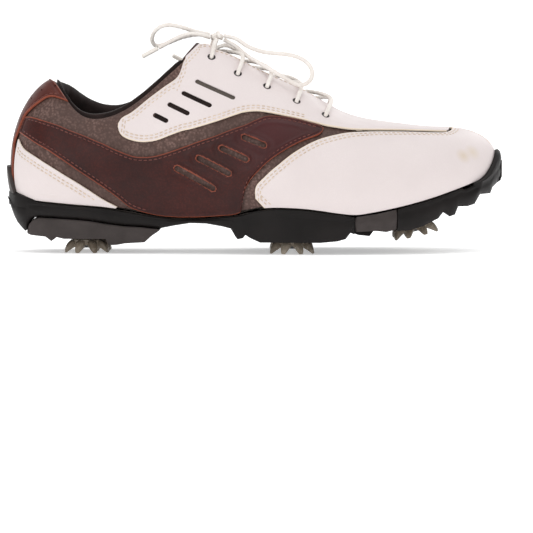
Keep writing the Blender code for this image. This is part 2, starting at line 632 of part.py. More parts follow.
def make_heel_tab():
    """The grey plastic piece up the back of the heel."""
    pairs = [((0.0, 0.03, "cage"), (0.72, 0.03, "cage")), ((0.0, 0.1, "cage"), (0.66, 0.1, "cage")),
             ((0.0, 0.17, "cage"), (0.5, 0.17, "cage")), ((0.0, 0.23, "cage"), (0.3, 0.22, "cage"))]
    grids = [sheet_grid(side_columns(side, pairs), 8, 5) for side in (LATERAL, MEDIAL)]
    add_sheet("heel_tab", grids, HEEL_TAB, "grey_plastic")


# ---------------------------------------------------------------- sole

def outline(margin, ends=True):
    """Plan outline of the feather line moved out by margin: (lateral, medial) arrays of (x, y)."""
    outlines = []
    for side in (LATERAL, MEDIAL):
        points = []
        for around in np.linspace(0.0, TOE, 181):
            here = bare_last(-side * around, 0.0)
            ahead = bare_last(-side * min(around + 0.05, TOE), 0.0)
            behind = bare_last(-side * max(around - 0.05, 0.0), 0.0)
            tangent = (ahead - behind)[:2]
            tangent /= np.linalg.norm(tangent)
            outward = np.array([-tangent[1], tangent[0]]) * side
            swell = 2.6 * math.exp(-(around / 1.1)**2) + 1.6 * math.exp(-((TOE - around) / 1.0)**2)
            points.append(here[:2] + outward * (margin + (swell if ends else 0.0)))
        outlines.append(np.array(points))
    return outlines


def edges_at(outlines, x, narrowest=1.5):
    """The two y values of an outline at x."""
    lateral = float(np.interp(x, outlines[0][:, 0], outlines[0][:, 1]))
    medial = float(np.interp(x, outlines[1][:, 0], outlines[1][:, 1]))
    middle = (lateral + medial) / 2
    half = max((medial - lateral) / 2, narrowest)
    return middle - half, middle + half


def stations(low, high, *profiles):
    """x stations between low and high, with every point of the profiles among them."""
    xs = set(np.arange(low, high, 12.0)) | {low, high}
    for profile in profiles:
        xs |= {float(x) for x, _ in profile if low < x < high}
    xs |= {low + d for d in (0.8, 2.5, 5.5)} | {high - d for d in (0.8, 2.5, 5.5)}
    ordered = sorted(x for x in xs if low <= x <= high)
    kept = [ordered[0]]
    for x in ordered[1:]:
        if x - kept[-1] > 0.35:
            kept.append(x)
    return kept


def slab_sections(xs, top, bottom, margins):
    """Sections across a slab with one outline margin for its top, middle and bottom."""
    outlines = [outline(margin) for margin in margins]
    sections = []
    for x in xs:
        z_top, z_bottom = top(x), bottom(x)
        z_top = max(z_top, z_bottom + SLAB_MINIMUM)
        levels = (z_top, (z_top + z_bottom) / 2, z_bottom)
        lateral = [(x, edges_at(lines, x)[0], z) for lines, z in zip(outlines, levels)]
        medial = [(x, edges_at(lines, x)[1], z) for lines, z in zip(outlines, levels)]
        sections.append(lateral + medial[::-1])
    return sections


def feather(x):
    return height(FEATHER_HEIGHT, x)


def rim(x):
    """Height of the outsole's top edge, just clear of the upper."""
    toe_drop = RIM_TOE_DROP if x > RIM_TOE_START else 0.0
    return min(feather(max(x, RIM_HEEL_END)), feather(x)) - RIM_DROP - toe_drop


def cleat_axis(tilt):
    """Unit vector up along a cleat's axis."""
    return np.array([-math.sin(math.radians(tilt)), 0.0, math.cos(math.radians(tilt))])


def cleat_pockets(radius, start, depth):
    """Cutters along every cleat's axis, from start above the tip plane."""
    bm = bmesh.new()
    for _, x, y, z, tilt in CLEATS:
        axis = cleat_axis(tilt)
        centre = np.array([x, y, z]) + axis * (start + depth / 2)
        cylinder_into(bm, centre, axis, radius, depth, segments=20)
    return bm


def prism_into(bm, low, high):
    """Add a box between two corners to bm."""
    low, high = Vector(low) * MM, Vector(high) * MM
    size = high - low
    place = Matrix.Translation((low + high) / 2) @ Matrix.Diagonal((*size, 1.0))
    bmesh.ops.create_cube(bm, size=1.0, matrix=place)


def flex_block_box(side, clearance):
    """Corners of the notch that holds one flex block."""
    x_middle = sum(FLEX_BLOCK_RANGE) / 2
    inner = abs(edges_at(outline(SOLE_MARGIN), x_middle)[0 if side == LATERAL else 1]) - FLEX_BLOCK_DEPTH
    ys = sorted((side * (inner - clearance), side * 80.0))
    return ((FLEX_BLOCK_RANGE[0] - clearance, ys[0], -5.0), (FLEX_BLOCK_RANGE[1] + clearance, ys[1], 60.0))


def flex_block_notches(clearance):
    bm = bmesh.new()
    for side in (LATERAL, MEDIAL):
        prism_into(bm, *flex_block_box(side, clearance))
    return bm


def cut_midsole_recess(item):
    """Cut the recess that the midsole lies in, open through the rim."""
    xs = stations(*RECESS_RANGE, RECESS_FLOOR)
    sections = slab_sections(xs, lambda x: feather(x) + 6.0, lambda x: height(RECESS_FLOOR, x),
                             [-RECESS_INSET] * 3)
    cutter = add_loft("midsole_recess", sections, None)
    move_to_cutters(cutter)
    boolean(item, cutter)


def bumper_sections():
    """Sections of the bumper that the outsole sends up over the toe."""
    sections = []
    drop = np.array([0.0, 0.0, -4.5])
    for around in np.linspace(BUMPER_START, RING_COUNT - BUMPER_START, 17):
        f = 1.0 - abs(around - TOE) / (TOE - BUMPER_START)
        rise = 0.012 + 0.205 * f**3
        inner, outer = TOE_BUMPER
        outer = inner + (outer - inner) * min(0.45 + 2.5 * f, 1.0)
        sections.append([last(around, rise, inner), last(around, rise, max(outer - 1.2, inner + 0.3)),
                         last(around, rise / 2, outer), last(around, 0.0, outer - 1.4) + drop,
                         last(around, 0.0, 0.5) + drop, last(around, 0.0, inner)])
    return sections


def make_outsole():
    xs = stations(-154.0, 153.4, OUTSOLE_BOTTOM)
    sections = slab_sections(xs, rim, lambda x: height(OUTSOLE_BOTTOM, x),
                             (SOLE_MARGIN, SOLE_MARGIN + 0.9, SOLE_MARGIN - 2.0))
    outsole = add_loft("outsole", sections, "black_rubber")
    cut_midsole_recess(outsole)
    boolean(outsole, add_cutter("flex_block_notches", flex_block_notches(0.0)))
    boolean(outsole, add_cutter("cleat_wells", cleat_pockets(CLEAT_RADIUS + 0.8, -14.0,
                                                             14.0 + CLEAT_HEIGHT + GAP)))
    boolean(outsole, add_cutter("receptacle_wells", cleat_pockets(
        RECEPTACLE_RADIUS + GAP, 2.0, CLEAT_HEIGHT + RECEPTACLE_HEIGHT - 2.0 + 2 * GAP)))
    bumper = add_loft("toe_bumper", bumper_sections(), "black_rubber")
    move_to_cutters(bumper)
    boolean(outsole, bumper, "UNION")


def make_midsole():
    xs = stations(RECESS_RANGE[0] + GAP, RECESS_RANGE[1] - GAP, RECESS_FLOOR)
    sections = slab_sections(xs, lambda x: rim(x) + GAP, lambda x: height(RECESS_FLOOR, x) + GAP,
                             [-RECESS_INSET - 0.5] * 3)
    midsole = add_loft("midsole", sections, "foam")
    boolean(midsole, add_cutter("midsole_notches", flex_block_notches(MIDSOLE_CLEARANCE)))
    slot = bmesh.new()
    prism_into(slot, (SHANK_RANGE[0] - GAP, -SHANK_HALF_WIDTH - GAP, 0),
               (SHANK_RANGE[1] + GAP, SHANK_HALF_WIDTH + GAP, 60))
    boolean(midsole, add_cutter("shank_slot", slot))


def strip_sections(low, high, bottom, thickness, lateral, medial):
    """Sections of a strip that follows a height profile."""
    sections = []
    for x in np.linspace(low, high, 10):
        z = bottom(x)
        sections.append([(x, lateral, z), (x, medial, z), (x, medial, z + thickness),
                         (x, lateral, z + thickness)])
    return sections


def make_shank():
    add_loft("shank", strip_sections(*SHANK_RANGE, lambda x: height(RECESS_FLOOR, x) + GAP, 1.1,
                                     -SHANK_HALF_WIDTH, SHANK_HALF_WIDTH), "spring_steel")


def make_footbed():
    """The insole board and the sockliner, which close the upper's underside."""
    low, high = -141.0, 138.0
    board = slab_sections(stations(low, high, FEATHER_HEIGHT), lambda x: feather(x) + 0.3 + BOARD_THICKNESS,
                          lambda x: feather(x) + 0.3, [-BOARD_INSET] * 3)
    add_loft("insole_board", board, "board")
    base = 0.3 + BOARD_THICKNESS + GAP
    liner = slab_sections(stations(low + 2, high - 2, FEATHER_HEIGHT),
                          lambda x: feather(x) + base + SOCKLINER_THICKNESS,
                          lambda x: feather(x) + base, [-BOARD_INSET - 0.8] * 3)
    add_loft("sockliner", liner, "dark_lining")


def make_heel_plate():
    xs = stations(-140.5, -58.7, HEEL_PLATE_TOP, HEEL_PLATE_BOTTOM)
    sections = slab_sections(xs, lambda x: height(HEEL_PLATE_TOP, x),
                             lambda x: height(HEEL_PLATE_BOTTOM, x), (2.4, 1.8, 0.8))
    plate = add_loft("heel_plate", sections, "grey_plastic")
    boolean(plate, add_cutter("heel_cleat_wells", cleat_pockets(CLEAT_RADIUS + 0.8, -14.0,
                                                                14.0 + CLEAT_HEIGHT + GAP)))
    boolean(plate, add_cutter("heel_receptacle_wells", cleat_pockets(
        RECEPTACLE_RADIUS + GAP, 2.0, CLEAT_HEIGHT + RECEPTACLE_HEIGHT - 2.0 + 2 * GAP)))


def make_flex_block(side):
    """The grey block let into the forefoot's side."""
    low, high = FLEX_BLOCK_RANGE[0] + GAP, FLEX_BLOCK_RANGE[1] - GAP
    box = flex_block_box(side, -GAP)
    sections = []
    lines = [outline(SOLE_MARGIN), outline(SOLE_MARGIN + 1.2), outline(SOLE_MARGIN - 1.6)]
    inner = box[0][1] if side == MEDIAL else box[1][1]
    for x in np.linspace(low, high, 6):
        bottom = height(FLEX_BLOCK_BOTTOM, x)
        levels = (rim(x), (rim(x) + bottom) / 2, bottom)
        edge = [(x, edges_at(line, x)[0 if side == LATERAL else 1], z) for line, z in zip(lines, levels)]
        sections.append(edge + [(x, inner, bottom), (x, inner, levels[0])])
    add_loft("flex_block_" + SIDE_NAMES[side], sections, "grey_plastic")


# ---------------------------------------------------------------- cleats

def cleat_mesh(name):
    """A disc with splayed legs, the tips' plane at z = 0 and the disc's top at CLEAT_HEIGHT."""
    bm = bmesh.new()
    low = CLEAT_HEIGHT - CLEAT_DISC_THICKNESS
    cylinder_into(bm, (0, 0, low + CLEAT_DISC_THICKNESS / 2), (0, 0, 1), CLEAT_DISC_RADIUS,
                  CLEAT_DISC_THICKNESS, segments=2 * CLEAT_LEGS)
    walls = sorted((face for face in bm.faces if abs(face.normal.z) < 0.1),
                   key=lambda face: math.atan2(face.calc_center_median().y, face.calc_center_median().x))
    roots = walls[::2]
    reach = ((CLEAT_RADIUS - 2.6, 0.0, 2.0), (CLEAT_RADIUS, 0.0, CLEAT_FOOT))
    for radius, z_low, z_high in reach:
        grown = bmesh.ops.extrude_discrete_faces(bm, faces=roots)["faces"]
        for face in grown:
            centre = face.calc_center_median()
            out = Vector((centre.x, centre.y, 0.0)).normalized()
            across = Vector((-out.y, out.x, 0.0))
            for vert in face.verts:
                side = (vert.co - centre).dot(across)
                z = z_high if vert.co.z > centre.z else z_low
                vert.co = out * radius * MM + across * math.copysign(1.5 * MM, side)
                vert.co.z = z * MM
        roots = grown
    bmesh.ops.recalc_face_normals(bm, faces=bm.faces)
    return mesh_from_bmesh(name, bm)


def receptacle_mesh(name):
    bm = bmesh.new()
    cylinder_into(bm, (0, 0, CLEAT_HEIGHT + GAP + RECEPTACLE_HEIGHT / 2), (0, 0, 1),
                  RECEPTACLE_RADIUS, RECEPTACLE_HEIGHT, segments=18)
    return mesh_from_bmesh(name, bm)


def make_cleats():
    """Each cleat turns about its own receptacle; the empty stands on that axis."""
    for name, x, y, z, tilt in CLEATS:
        socket = bpy.data.objects.new("cleat_axis_" + name, None)
        socket.empty_display_size = 0.01
        socket.location = Vector((x, y, z)) * MM
        socket.rotation_euler = (0.0, -math.radians(tilt), 0.0)
        PARTS.objects.link(socket)
        cleat = add_object("cleat_" + name, cleat_mesh("cleat_" + name), "smoked_plastic", smooth=False)
        cleat.parent = socket
        receptacle = add_object("receptacle_" + name, receptacle_mesh("receptacle_" + name),
                                "black_plastic", smooth=False)
        receptacle.parent = socket


# ---------------------------------------------------------------- lacing

def make_eyelets():
    """A turned ring in each hole of the facings."""
    for side in (LATERAL, MEDIAL):
        for number, eyelet in enumerate(EYELETS, start=1):
            place = locate(side, *eyelet)
            bm = bmesh.new()
            profile = ((EYELET_BORE, -1.6), (EYELET_OUTER, -1.6), (EYELET_OUTER, 2.0), (EYELET_BORE, 2.0))
            verts = [bm.verts.new((radius * MM, 0.0, z * MM)) for radius, z in profile]
            edges = [bm.edges.new((verts[k], verts[(k + 1) % 4])) for k in range(4)]
            bmesh.ops.spin(bm, geom=verts + edges, cent=(0, 0, 0), axis=(0, 0, 1),
                           angle=math.tau, steps=10, use_merge=True)
            bmesh.ops.remove_doubles(bm, verts=bm.verts, dist=0.01 * MM)
            bmesh.ops.recalc_face_normals(bm, faces=bm.faces)
            name = "eyelet_{}_{}".format(SIDE_NAMES[side], number)
            ring = add_object(name, mesh_from_bmesh(name, bm), "dark_metal", smooth=False)
            ring.location = Vector([c * MM for c in last(*place)])
            ring.rotation_mode = "QUATERNION"
            ring.rotation_quaternion = Vector(last_normal(*place)).to_track_quat("Z", "Y")


def add_tube(name, route, radius, count, material_name):
    """A round cord along a smooth curve through its route's points."""
    curve = bpy.data.curves.new(name, "CURVE")
    curve.dimensions = "3D"
    curve.bevel_depth = radius * MM
    curve.bevel_resolution = 2
    curve.use_fill_caps = True
    path = smooth_path(route, count)
    spline = curve.splines.new("POLY")
    spline.points.add(len(path) - 1)
    for point, place in zip(spline.points, path):
        point.co = (*(float(c) * MM for c in place), 1.0)
    return add_object(name, curve, material_name, smooth=False)


def eyelet_stops(side, number, inward):
    """Route points through one eyelet: over the facing's edge, above, in and below the ring."""
    place = locate(side, *EYELETS[number])
    centre, normal = last(*place), last_normal(*place)
    lean = np.array([0.0, -side * 1.0, 0.0])
    lean -= normal * lean.dot(normal)
    lean /= np.linalg.norm(lean)
    last_pair = number == len(EYELETS) - 1
    edge_x, edge_y = EYELETS[number][0] + 1.0, 9.6 if last_pair else 11.0
    over_lift = OVER_EDGE_LIFT + (1.3 if last_pair else 0.0)
    over = last(*locate(side, edge_x, y=side * edge_y), lift=over_lift)
    above = centre + normal * 3.8 + lean * 0.5
    through = centre + normal * 0.2
    below = centre - normal * 3.1 + lean * 0.4
    under = last(*locate(side, edge_x, y=side * (edge_y - 3.0)), lift=UNDER_EDGE_LIFT)
    stops = [over, above, through, below, under]
    return stops if inward else stops[::-1]


def lacing_route():
    """The lace's whole run: down one zigzag, across under the last pair and up the other."""
    route = [(-24.2, -5.5, 131.0)]
    side = LATERAL
    for number in range(5):
        route += eyelet_stops(side, number, True)
        if number < 4:
            middle_x = (EYELETS[number][0] + EYELETS[number + 1][0]) / 2 + 1.0
            crown = last(*locate(LATERAL, middle_x, y=-0.1))
            route.append((middle_x, 0.0, crown[2] + 3.0))
            side = -side
    route.append((EYELETS[4][0] + 1.5, 0.0, last(*locate(LATERAL, EYELETS[4][0] + 1.5, y=-0.1))[2] - 3.0))
    side = -side
    for number in range(4, -1, -1):
        route += eyelet_stops(side, number, False)
        if number > 0:
            middle_x = (EYELETS[number][0] + EYELETS[number - 1][0]) / 2 + 1.0
            crown = last(*locate(LATERAL, middle_x, y=-0.1))
            route.append((middle_x, 0.0, crown[2] - 0.8))
            side = -side
    route.append((-24.2, 5.5, 131.0))
    return route


LOOP_HEEL = [(-28.6, -1.0, 134.4), (-34, -2.6, 135.6), (-39.5, -4, 137), (-44.5, -5, 138.6),
             (-49.5, -5.6, 139.8), (-54.6, -5.6, 140.2), (-59.4, -4.6, 138.8), (-63, -2.4, 135.4),
             (-64.2, 0.8, 131), (-62.2, 3.6, 127.8), (-57.6, 4.8, 128), (-51.6, 5, 130.4),
             (-44.6, 4.6, 133), (-36.6, 3.6, 134.4), (-28.8, 2.2, 134.0)]
LOOP_TOE = [(-19.4, -2.0, 133.6), (-12, -6, 131.8), (-4.6, -10, 127), (4.2, -13.5, 123.8),
            (12, -15.6, 122.8), (19.5, -17.2, 122), (26.5, -18.6, 120.2), (32.4, -20, 116.4),
            (35, -21.4, 110.6), (33, -22.6, 105.4), (27, -22.8, 103.2), (19, -21.6, 107),
            (10.6, -18.8, 112), (2.4, -15, 116.8), (-5.4, -10.6, 121.4), (-12.4, -5.6, 127.2),
            (-19.2, -1.0, 131.0)]
END_LATERAL = [(-28.2, -3.6, 132.6), (-33.5, -6.6, 134.2), (-39, -9, 134.9), (-44, -10.8, 134),
               (-49.4, -12, 131.7), (-55, -13, 128.7), (-59.6, -13.6, 126.2)]
AGLET_LATERAL = [(-60.1, -13.7, 125.9), (-70, -14.8, 120.6)]
END_MEDIAL = [(-22.6, 4.6, 134.4), (-24, 10, 134), (-26.4, 16, 130.6), (-28, 21.6, 125),
              (-28.6, 27.6, 119.6), (-31.4, 32.6, 115.6), (-36, 34.8, 114.6), (-41.4, 34.4, 116)]
AGLET_MEDIAL = [(-41.9, 34.3, 116.2), (-52.2, 31.4, 121.6)]


def make_lace():
    route = lacing_route()
    add_tube("lace_lacing", route, LACE_RADIUS, len(route), "lace_cotton")
    bpy.ops.mesh.primitive_uv_sphere_add(segments=12, ring_count=8, radius=1.0,
                                         location=Vector(KNOT_CENTRE) * MM)
    knot = bpy.context.object
    knot.name = "lace_knot"
    knot.scale = Vector(KNOT_SIZE) * MM
    bpy.ops.object.transform_apply(location=False, rotation=False, scale=True)
    knot.data.materials.append(material("lace_cotton"))
    for collection in list(knot.users_collection):
        collection.objects.unlink(knot)
    PARTS.objects.link(knot)
    add_tube("lace_loop_heel", LOOP_HEEL, LACE_RADIUS, 26, "lace_cotton")
    add_tube("lace_loop_toe", LOOP_TOE, LACE_RADIUS, 36, "lace_cotton")
    add_tube("lace_end_lateral", END_LATERAL, LACE_RADIUS, 10, "lace_cotton")
    add_tube("lace_end_medial", END_MEDIAL, LACE_RADIUS, 14, "lace_cotton")
    add_tube("aglet_lateral", AGLET_LATERAL, LACE_RADIUS + 0.1, 2, "aglet_plastic")
    add_tube("aglet_medial", AGLET_MEDIAL, LACE_RADIUS + 0.1, 2, "aglet_plastic")


# ---------------------------------------------------------------- assembly

clear_scene()
PARTS = new_collection("golf_shoe")
CUTTERS = new_collection("cutters")

make_vamp_and_facings()
make_toe_guard()
for shoe_side in (LATERAL, MEDIAL):
    make_saddle(shoe_side)
    make_heel_panel(shoe_side)
    make_quarter(shoe_side)
    make_flex_block(shoe_side)
make_backstay()
make_inner_layers()
make_collar_pad()
make_tongue()
make_outsole()
make_heel_tab()
make_midsole()
make_shank()
make_footbed()
make_heel_plate()
make_cleats()
make_eyelets()
make_lace()
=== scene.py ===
"""The looks of the right golf shoe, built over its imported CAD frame.

Leather panels with rounded cut edges, stitching, slots and eyelets, the padded collar, the
tongue, the braided lace, the sole and its cleats. The helpers work in millimetres, write metres,
and share the CAD part's frame: toe to +X, the outer (lateral) side to -Y, the ground at z = 0.
"""
import math

import bmesh
import bpy
import numpy as np
from mathutils import Matrix, Vector


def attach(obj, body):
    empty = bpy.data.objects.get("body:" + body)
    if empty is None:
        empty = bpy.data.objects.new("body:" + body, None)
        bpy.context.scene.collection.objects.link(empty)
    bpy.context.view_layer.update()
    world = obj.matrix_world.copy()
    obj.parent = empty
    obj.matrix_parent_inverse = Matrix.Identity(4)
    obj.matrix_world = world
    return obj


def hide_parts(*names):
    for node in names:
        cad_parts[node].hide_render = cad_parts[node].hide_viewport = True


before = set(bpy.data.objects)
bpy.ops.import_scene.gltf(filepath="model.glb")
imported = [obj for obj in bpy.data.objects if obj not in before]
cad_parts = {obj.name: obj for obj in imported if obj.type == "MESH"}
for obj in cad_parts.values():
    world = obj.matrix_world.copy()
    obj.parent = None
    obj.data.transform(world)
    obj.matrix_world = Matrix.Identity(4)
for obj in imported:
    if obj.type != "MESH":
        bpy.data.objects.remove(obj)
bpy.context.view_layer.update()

MM = 0.001
LATERAL = -1
MEDIAL = 1
SIDE_NAMES = {LATERAL: "lateral", MEDIAL: "medial"}
SHOE = "shoe"

# Layers of the upper, as (inner face, outer face) distances out from the last surface.
OVERLAY = (0.9, 1.9)
BASE = (-1.2, 0.0)
HEEL_TAB = (2.1, 4.2)
TOE_BUMPER = (2.2, 5.4)
BUMPER_START = 13.3
PAD_INNER = -9.0

# Rows of the last's control cage from the heel's centre line round to the toe's.
# Each point is (x, half width, z).
FEATHER_ROW = [(-147.5, 0), (-142, 17), (-128, 28), (-108, 32.2), (-80, 32.5), (-55, 33), (-33, 35.5),
               (-12, 40), (8, 45), (30, 49.5), (55, 51.4), (80, 49.8), (105, 43.8), (127, 33.2),
               (141, 19), (147.2, 0)]
BULGE_ROW = [(-155.5, 0, 60), (-149.5, 21.5, 58), (-133, 35, 54), (-109, 40, 50), (-81, 40.5, 48),
             (-57, 41.5, 48), (-36, 43.7, 52), (-16, 48.2, 56), (4, 53, 58), (25, 57, 57),
             (50, 58.7, 53), (77, 56.7, 53), (103, 50.5, 57), (127, 38, 61), (144, 21, 65),
             (150.5, 0, 68)]
SHOULDER_ROW = [(-145.5, 0, 98), (-138.5, 19.5, 94), (-124, 31, 80), (-105, 35, 68), (-82, 37.5, 70),
                (-62, 37.5, 80), (-45, 35.5, 95), (-33, 31, 114), (-20, 26, 126), (3, 28, 113.5),
                (31, 31.5, 99.5), (58, 34, 84.5), (88, 31.5, 78.3), (112, 23, 76.3),
                (128, 12, 75.7), (135, 0, 75.5)]
CROWN_ROW = [(-124, 0, 106.3), (-121.5, 11, 104.6), (-114, 20.5, 93.3), (-102, 27, 84.3),
             (-82, 30, 88.6), (-62, 29.5, 103.4), (-46, 25, 117.5), (-36.5, 13, 126.2),
             (-24, 0, 127.5), (0, 0, 114), (28, 0, 100), (54, 0, 84.8), (82, 0, 78.6),
             (103, 0, 76), (112, 0, 75.6), (117, 0, 75.3)]
MEDIAL_RISE = {2: 6.5, 3: 7.0, 4: 1.0}     # the inner side's collar stands higher, by crown point
HEEL = 0
TOE = len(FEATHER_ROW) - 1
RIDGE_START = 8                 # the crown's two sides meet on the centre line from here on
FEATHER_HEIGHT = [(-154, 37), (-147, 34.5), (-141, 33), (-120, 30.8), (-100, 29.3), (-84, 27.4),
                  (-65, 24), (-50, 22), (-30, 22.2), (-10, 24.5), (0, 27.3), (15, 28.5), (30, 27.8),
                  (45, 25.8), (60, 23.8), (75, 26), (90, 29.3), (110, 34.6), (130, 42), (140, 46.8),
                  (145, 50.6), (148, 55), (155, 60)]
SWING = [(-150, 0), (-100, -0.6), (-55, -2), (-12, -3.5), (20, -2.2), (50, 0.5), (80, 2.6),
         (105, 4.2), (150, 6)]

# Panel outlines, as the CAD part has them: (lower, upper) ends of key columns. A point is a
# side-view (x, z), or (x, half width, "plan"), or (around, up, "cage").
THROAT = [(-24, 12.0, "plan"), (-12, 11.0, "plan"), (0, 10.4, "plan"), (14, 9.8, "plan"),
          (27, 9.2, "plan"), (37, 8.2, "plan"), (44, 5.6, "plan"), (48.5, 0.6, "plan")]
FACING_PAIRS = [((-84, 77.6), (-83.8, 79.4)), ((-82.4, 73.2), (-81.2, 83)),
                ((-78, 70.2), (-75.6, 86.2)), ((-70, 68.4), (-66, 94)),
                ((-61, 69.2), (-56, 101.6)), ((-52, 72.5), (-47.5, 108.2)),
                ((-45, 75), (-44.2, 117.2)), ((-39, 76.3), (-41.5, 123.6)),
                ((-33, 78), (-36.5, 126.6)), ((-27, 79.8), (-30, 127.2)), ((-20, 82), THROAT[0]),
                ((-13, 84.4), THROAT[1]), ((-5, 86.5), THROAT[2]), ((5, 86.4), THROAT[3]),
                ((16, 84.2), THROAT[4]), ((27, 81.8), THROAT[5]), ((36, 79.4), THROAT[6]),
                ((44, 77.4), THROAT[7]), ((56, 75.4), (11.2, 1.0, "cage")),
                ((70, 74.6), (11.7, 1.0, "cage")), ((84, 74.4), (12.2, 1.0, "cage")),
                ((98, 74), (12.8, 1.0, "cage")), ((109, 73.6), (13.8, 1.0, "cage")),
                ((118, 8.0, "plan"), (15.0, 1.0, "cage"))]
TOE_GUARD_PAIRS = [((5.5, 28.9), (0.2, 34.6)), ((14, 29.3), (0.6, 41.6)), ((22, 29.1), (6.6, 48.2)),
                   ((32, 28.4), (15.2, 55.6)), ((42, 27.1), (25, 62.9)), ((52, 25.6), (36, 68.6)),
                   ((62, 24.9), (48, 72)), ((72, 26.4), (60, 73.4)),
                   ((11.6, 0.012, "cage"), (72, 73.5)), ((12.3, 0.012, "cage"), (84.6, 73.3)),
                   ((13.0, 0.012, "cage"), (98.8, 72.9)), ((13.8, 0.012, "cage"), (110, 72.5)),
                   ((14.5, 0.012, "cage"), (118.9, 8.5, "plan"))]
TOE_TIP = (120.4, 4.4)
SADDLE_PAIRS = [((-144.2, 73.4), (-140.4, 83.2)), ((-135, 67.7), (-130, 81.2)),
                ((-125, 61.9), (-118, 77)), ((-115, 55.3), (-106, 72.4)), ((-105, 48.7), (-95, 68)),
                ((-95, 42.2), (-85, 63.6)), ((-85, 35.3), (-75, 60)), ((-76, 28.6), (-67, 59.4)),
                ((-64, 24.8), (-60, 60.3)), ((-50, 23), (-48, 64)), ((-35, 22.9), (-36, 68.3)),
                ((-21, 23.8), (-22, 73)), ((-9.5, 25.8), (-8, 78)), ((-8.4, 33), (0, 81.4)),
                ((-4.2, 43.5), (8, 83.8)), ((4.6, 53.4), (18, 83.1)), ((15, 61.5), (27, 81.2)),
                ((27, 68), (34, 79.2)), ((37.6, 71.9), (39, 77.8)), ((41, 74.4), (41.4, 76.2))]
HEEL_PANEL_PAIRS = [((0.62, 0.045, "cage"), (0.74, 0.43, "cage")), ((-142, 34), (-141.5, 64)),
                    ((-135, 32.9), (-133, 58.4)), ((-125, 31.9), (-122, 51.6)),
                    ((-115, 31), (-111, 45)), ((-105, 30.2), (-102, 39.4)), ((-95, 29.4), (-93, 33.6)),
                    ((-85.5, 28.2), (-84.5, 29.2))]
BACKSTAY_PAIRS = [((0.0, 0.08, "cage"), (0.54, 0.08, "cage")), ((0.0, 0.2, "cage"), (0.54, 0.2, "cage")),
                  ((0.0, 0.33, "cage"), (0.58, 0.33, "cage")),
                  ((0.0, 0.45, "cage"), (-147.6, 67)), ((0.0, 0.54, "cage"), (-145.6, 73)),
                  ((0.0, 0.62, "cage"), (-143, 79.5)), ((0.0, 0.70, "cage"), (-140.6, 84.4)),
                  ((0.0, 0.77, "cage"), (-137, 88.2)), ((0.0, 0.84, "cage"), (-132.2, 92)),
                  ((0.0, 0.90, "cage"), (-125.6, 95.4)), ((0.0, 0.96, "cage"), (1.98, 0.97, "cage"))]
QUARTER_PAIRS = [((around, 0.02, "cage"), (around, 0.98, "cage"))
                 for around in (0.03, 0.7, 1.4, 2.1, 3, 4, 5.2)]
QUARTER_PAIRS += [((6.4, 0.02, "cage"), (6.1, 0.98, "cage")), ((7.4, 0.02, "cage"), (6.9, 0.965, "cage")),
                  ((8.4, 0.02, "cage"), (-27, 13.4, "plan")), ((9.2, 0.02, "cage"), (-3, 12.0, "plan")),
                  ((9.9, 0.02, "cage"), (20, 11.2, "plan")), ((10.5, 0.02, "cage"), (40, 9.4, "plan")),
                  ((11.0, 0.02, "cage"), (56, 9.0, "plan"))]
HEEL_TAB_PAIRS = [((0.0, 0.03, "cage"), (0.72, 0.03, "cage")), ((0.0, 0.1, "cage"), (0.66, 0.1, "cage")),
                  ((0.0, 0.17, "cage"), (0.5, 0.17, "cage")), ((0.0, 0.23, "cage"), (0.3, 0.22, "cage"))]
COLLAR_SPAN = 6.3
COLLAR_TAPER = 0.55
RIDGE_SNAP = 0.988

# Eyelets, slots and perforations in the side view, as (x, z).
EYELETS = [(-27.3, 119.3), (-11.2, 109.3), (6.6, 101.2), (24.8, 92.2), (42.4, 83.6)]
EYELET_OUTER = 2.5
EYELET_BORE = 1.9
FACING_SLOTS = [((-35.5, 104.7), (-13.8, 95)), ((-43.7, 97.8), (-28, 90.5)),
                ((-52.2, 91), (-41.5, 85.8)), ((-61, 84.5), (-54.5, 81.3))]
FACING_SLOT_WIDTH = 3.0
SADDLE_SLOTS = [((-47.5, 52.5), (-25.5, 40.5)), ((-34, 58.5), (-16, 49.5)),
                ((-20, 64.5), (-5.5, 58)), ((-6.5, 71), (5.3, 66.3))]
SADDLE_SLOT_WIDTH = 3.4
BACKSTAY_HOLES = [(-123, 101.5), (-131, 99), (-137, 94), (-142, 88.3)]


def height(profile, x):
    """Value of a polyline profile at x."""
    return np.interp(x, [point[0] for point in profile], [point[1] for point in profile])


# ---------------------------------------------------------------- last surface

def cage_ring(row, low):
    """One closed row of the cage: lateral side from heel to toe, then medial side back."""
    ring = []
    for side, order in ((LATERAL, range(HEEL, TOE + 1)), (MEDIAL, range(TOE - 1, HEEL, -1))):
        for index in order:
            x, half_width = row[index][:2]
            z = row[index][2] if len(row[index]) == 3 else height(FEATHER_HEIGHT, x)
            if row is CROWN_ROW and side == MEDIAL:
                z += MEDIAL_RISE.get(index, 0.0)
            swing = height(SWING, x)
            ring.append((x, side * half_width + (swing if low else max(swing, 0.0)), z))
    return np.array(ring, dtype=float)


def ring_slopes(ring):
    """Slopes of the smooth closed curve through a ring of points."""
    count = len(ring)
    matrix = 4.0 * np.eye(count) + np.roll(np.eye(count), 1, 0) + np.roll(np.eye(count), -1, 0)
    return np.linalg.solve(matrix, 3.0 * (np.roll(ring, -1, 0) - np.roll(ring, 1, 0)))


CAGE = [cage_ring(FEATHER_ROW, True), cage_ring(BULGE_ROW, True),
        cage_ring(SHOULDER_ROW, False), cage_ring(CROWN_ROW, False)]
CAGE_SLOPES = [ring_slopes(ring) for ring in CAGE]
RING_COUNT = len(CAGE[0])


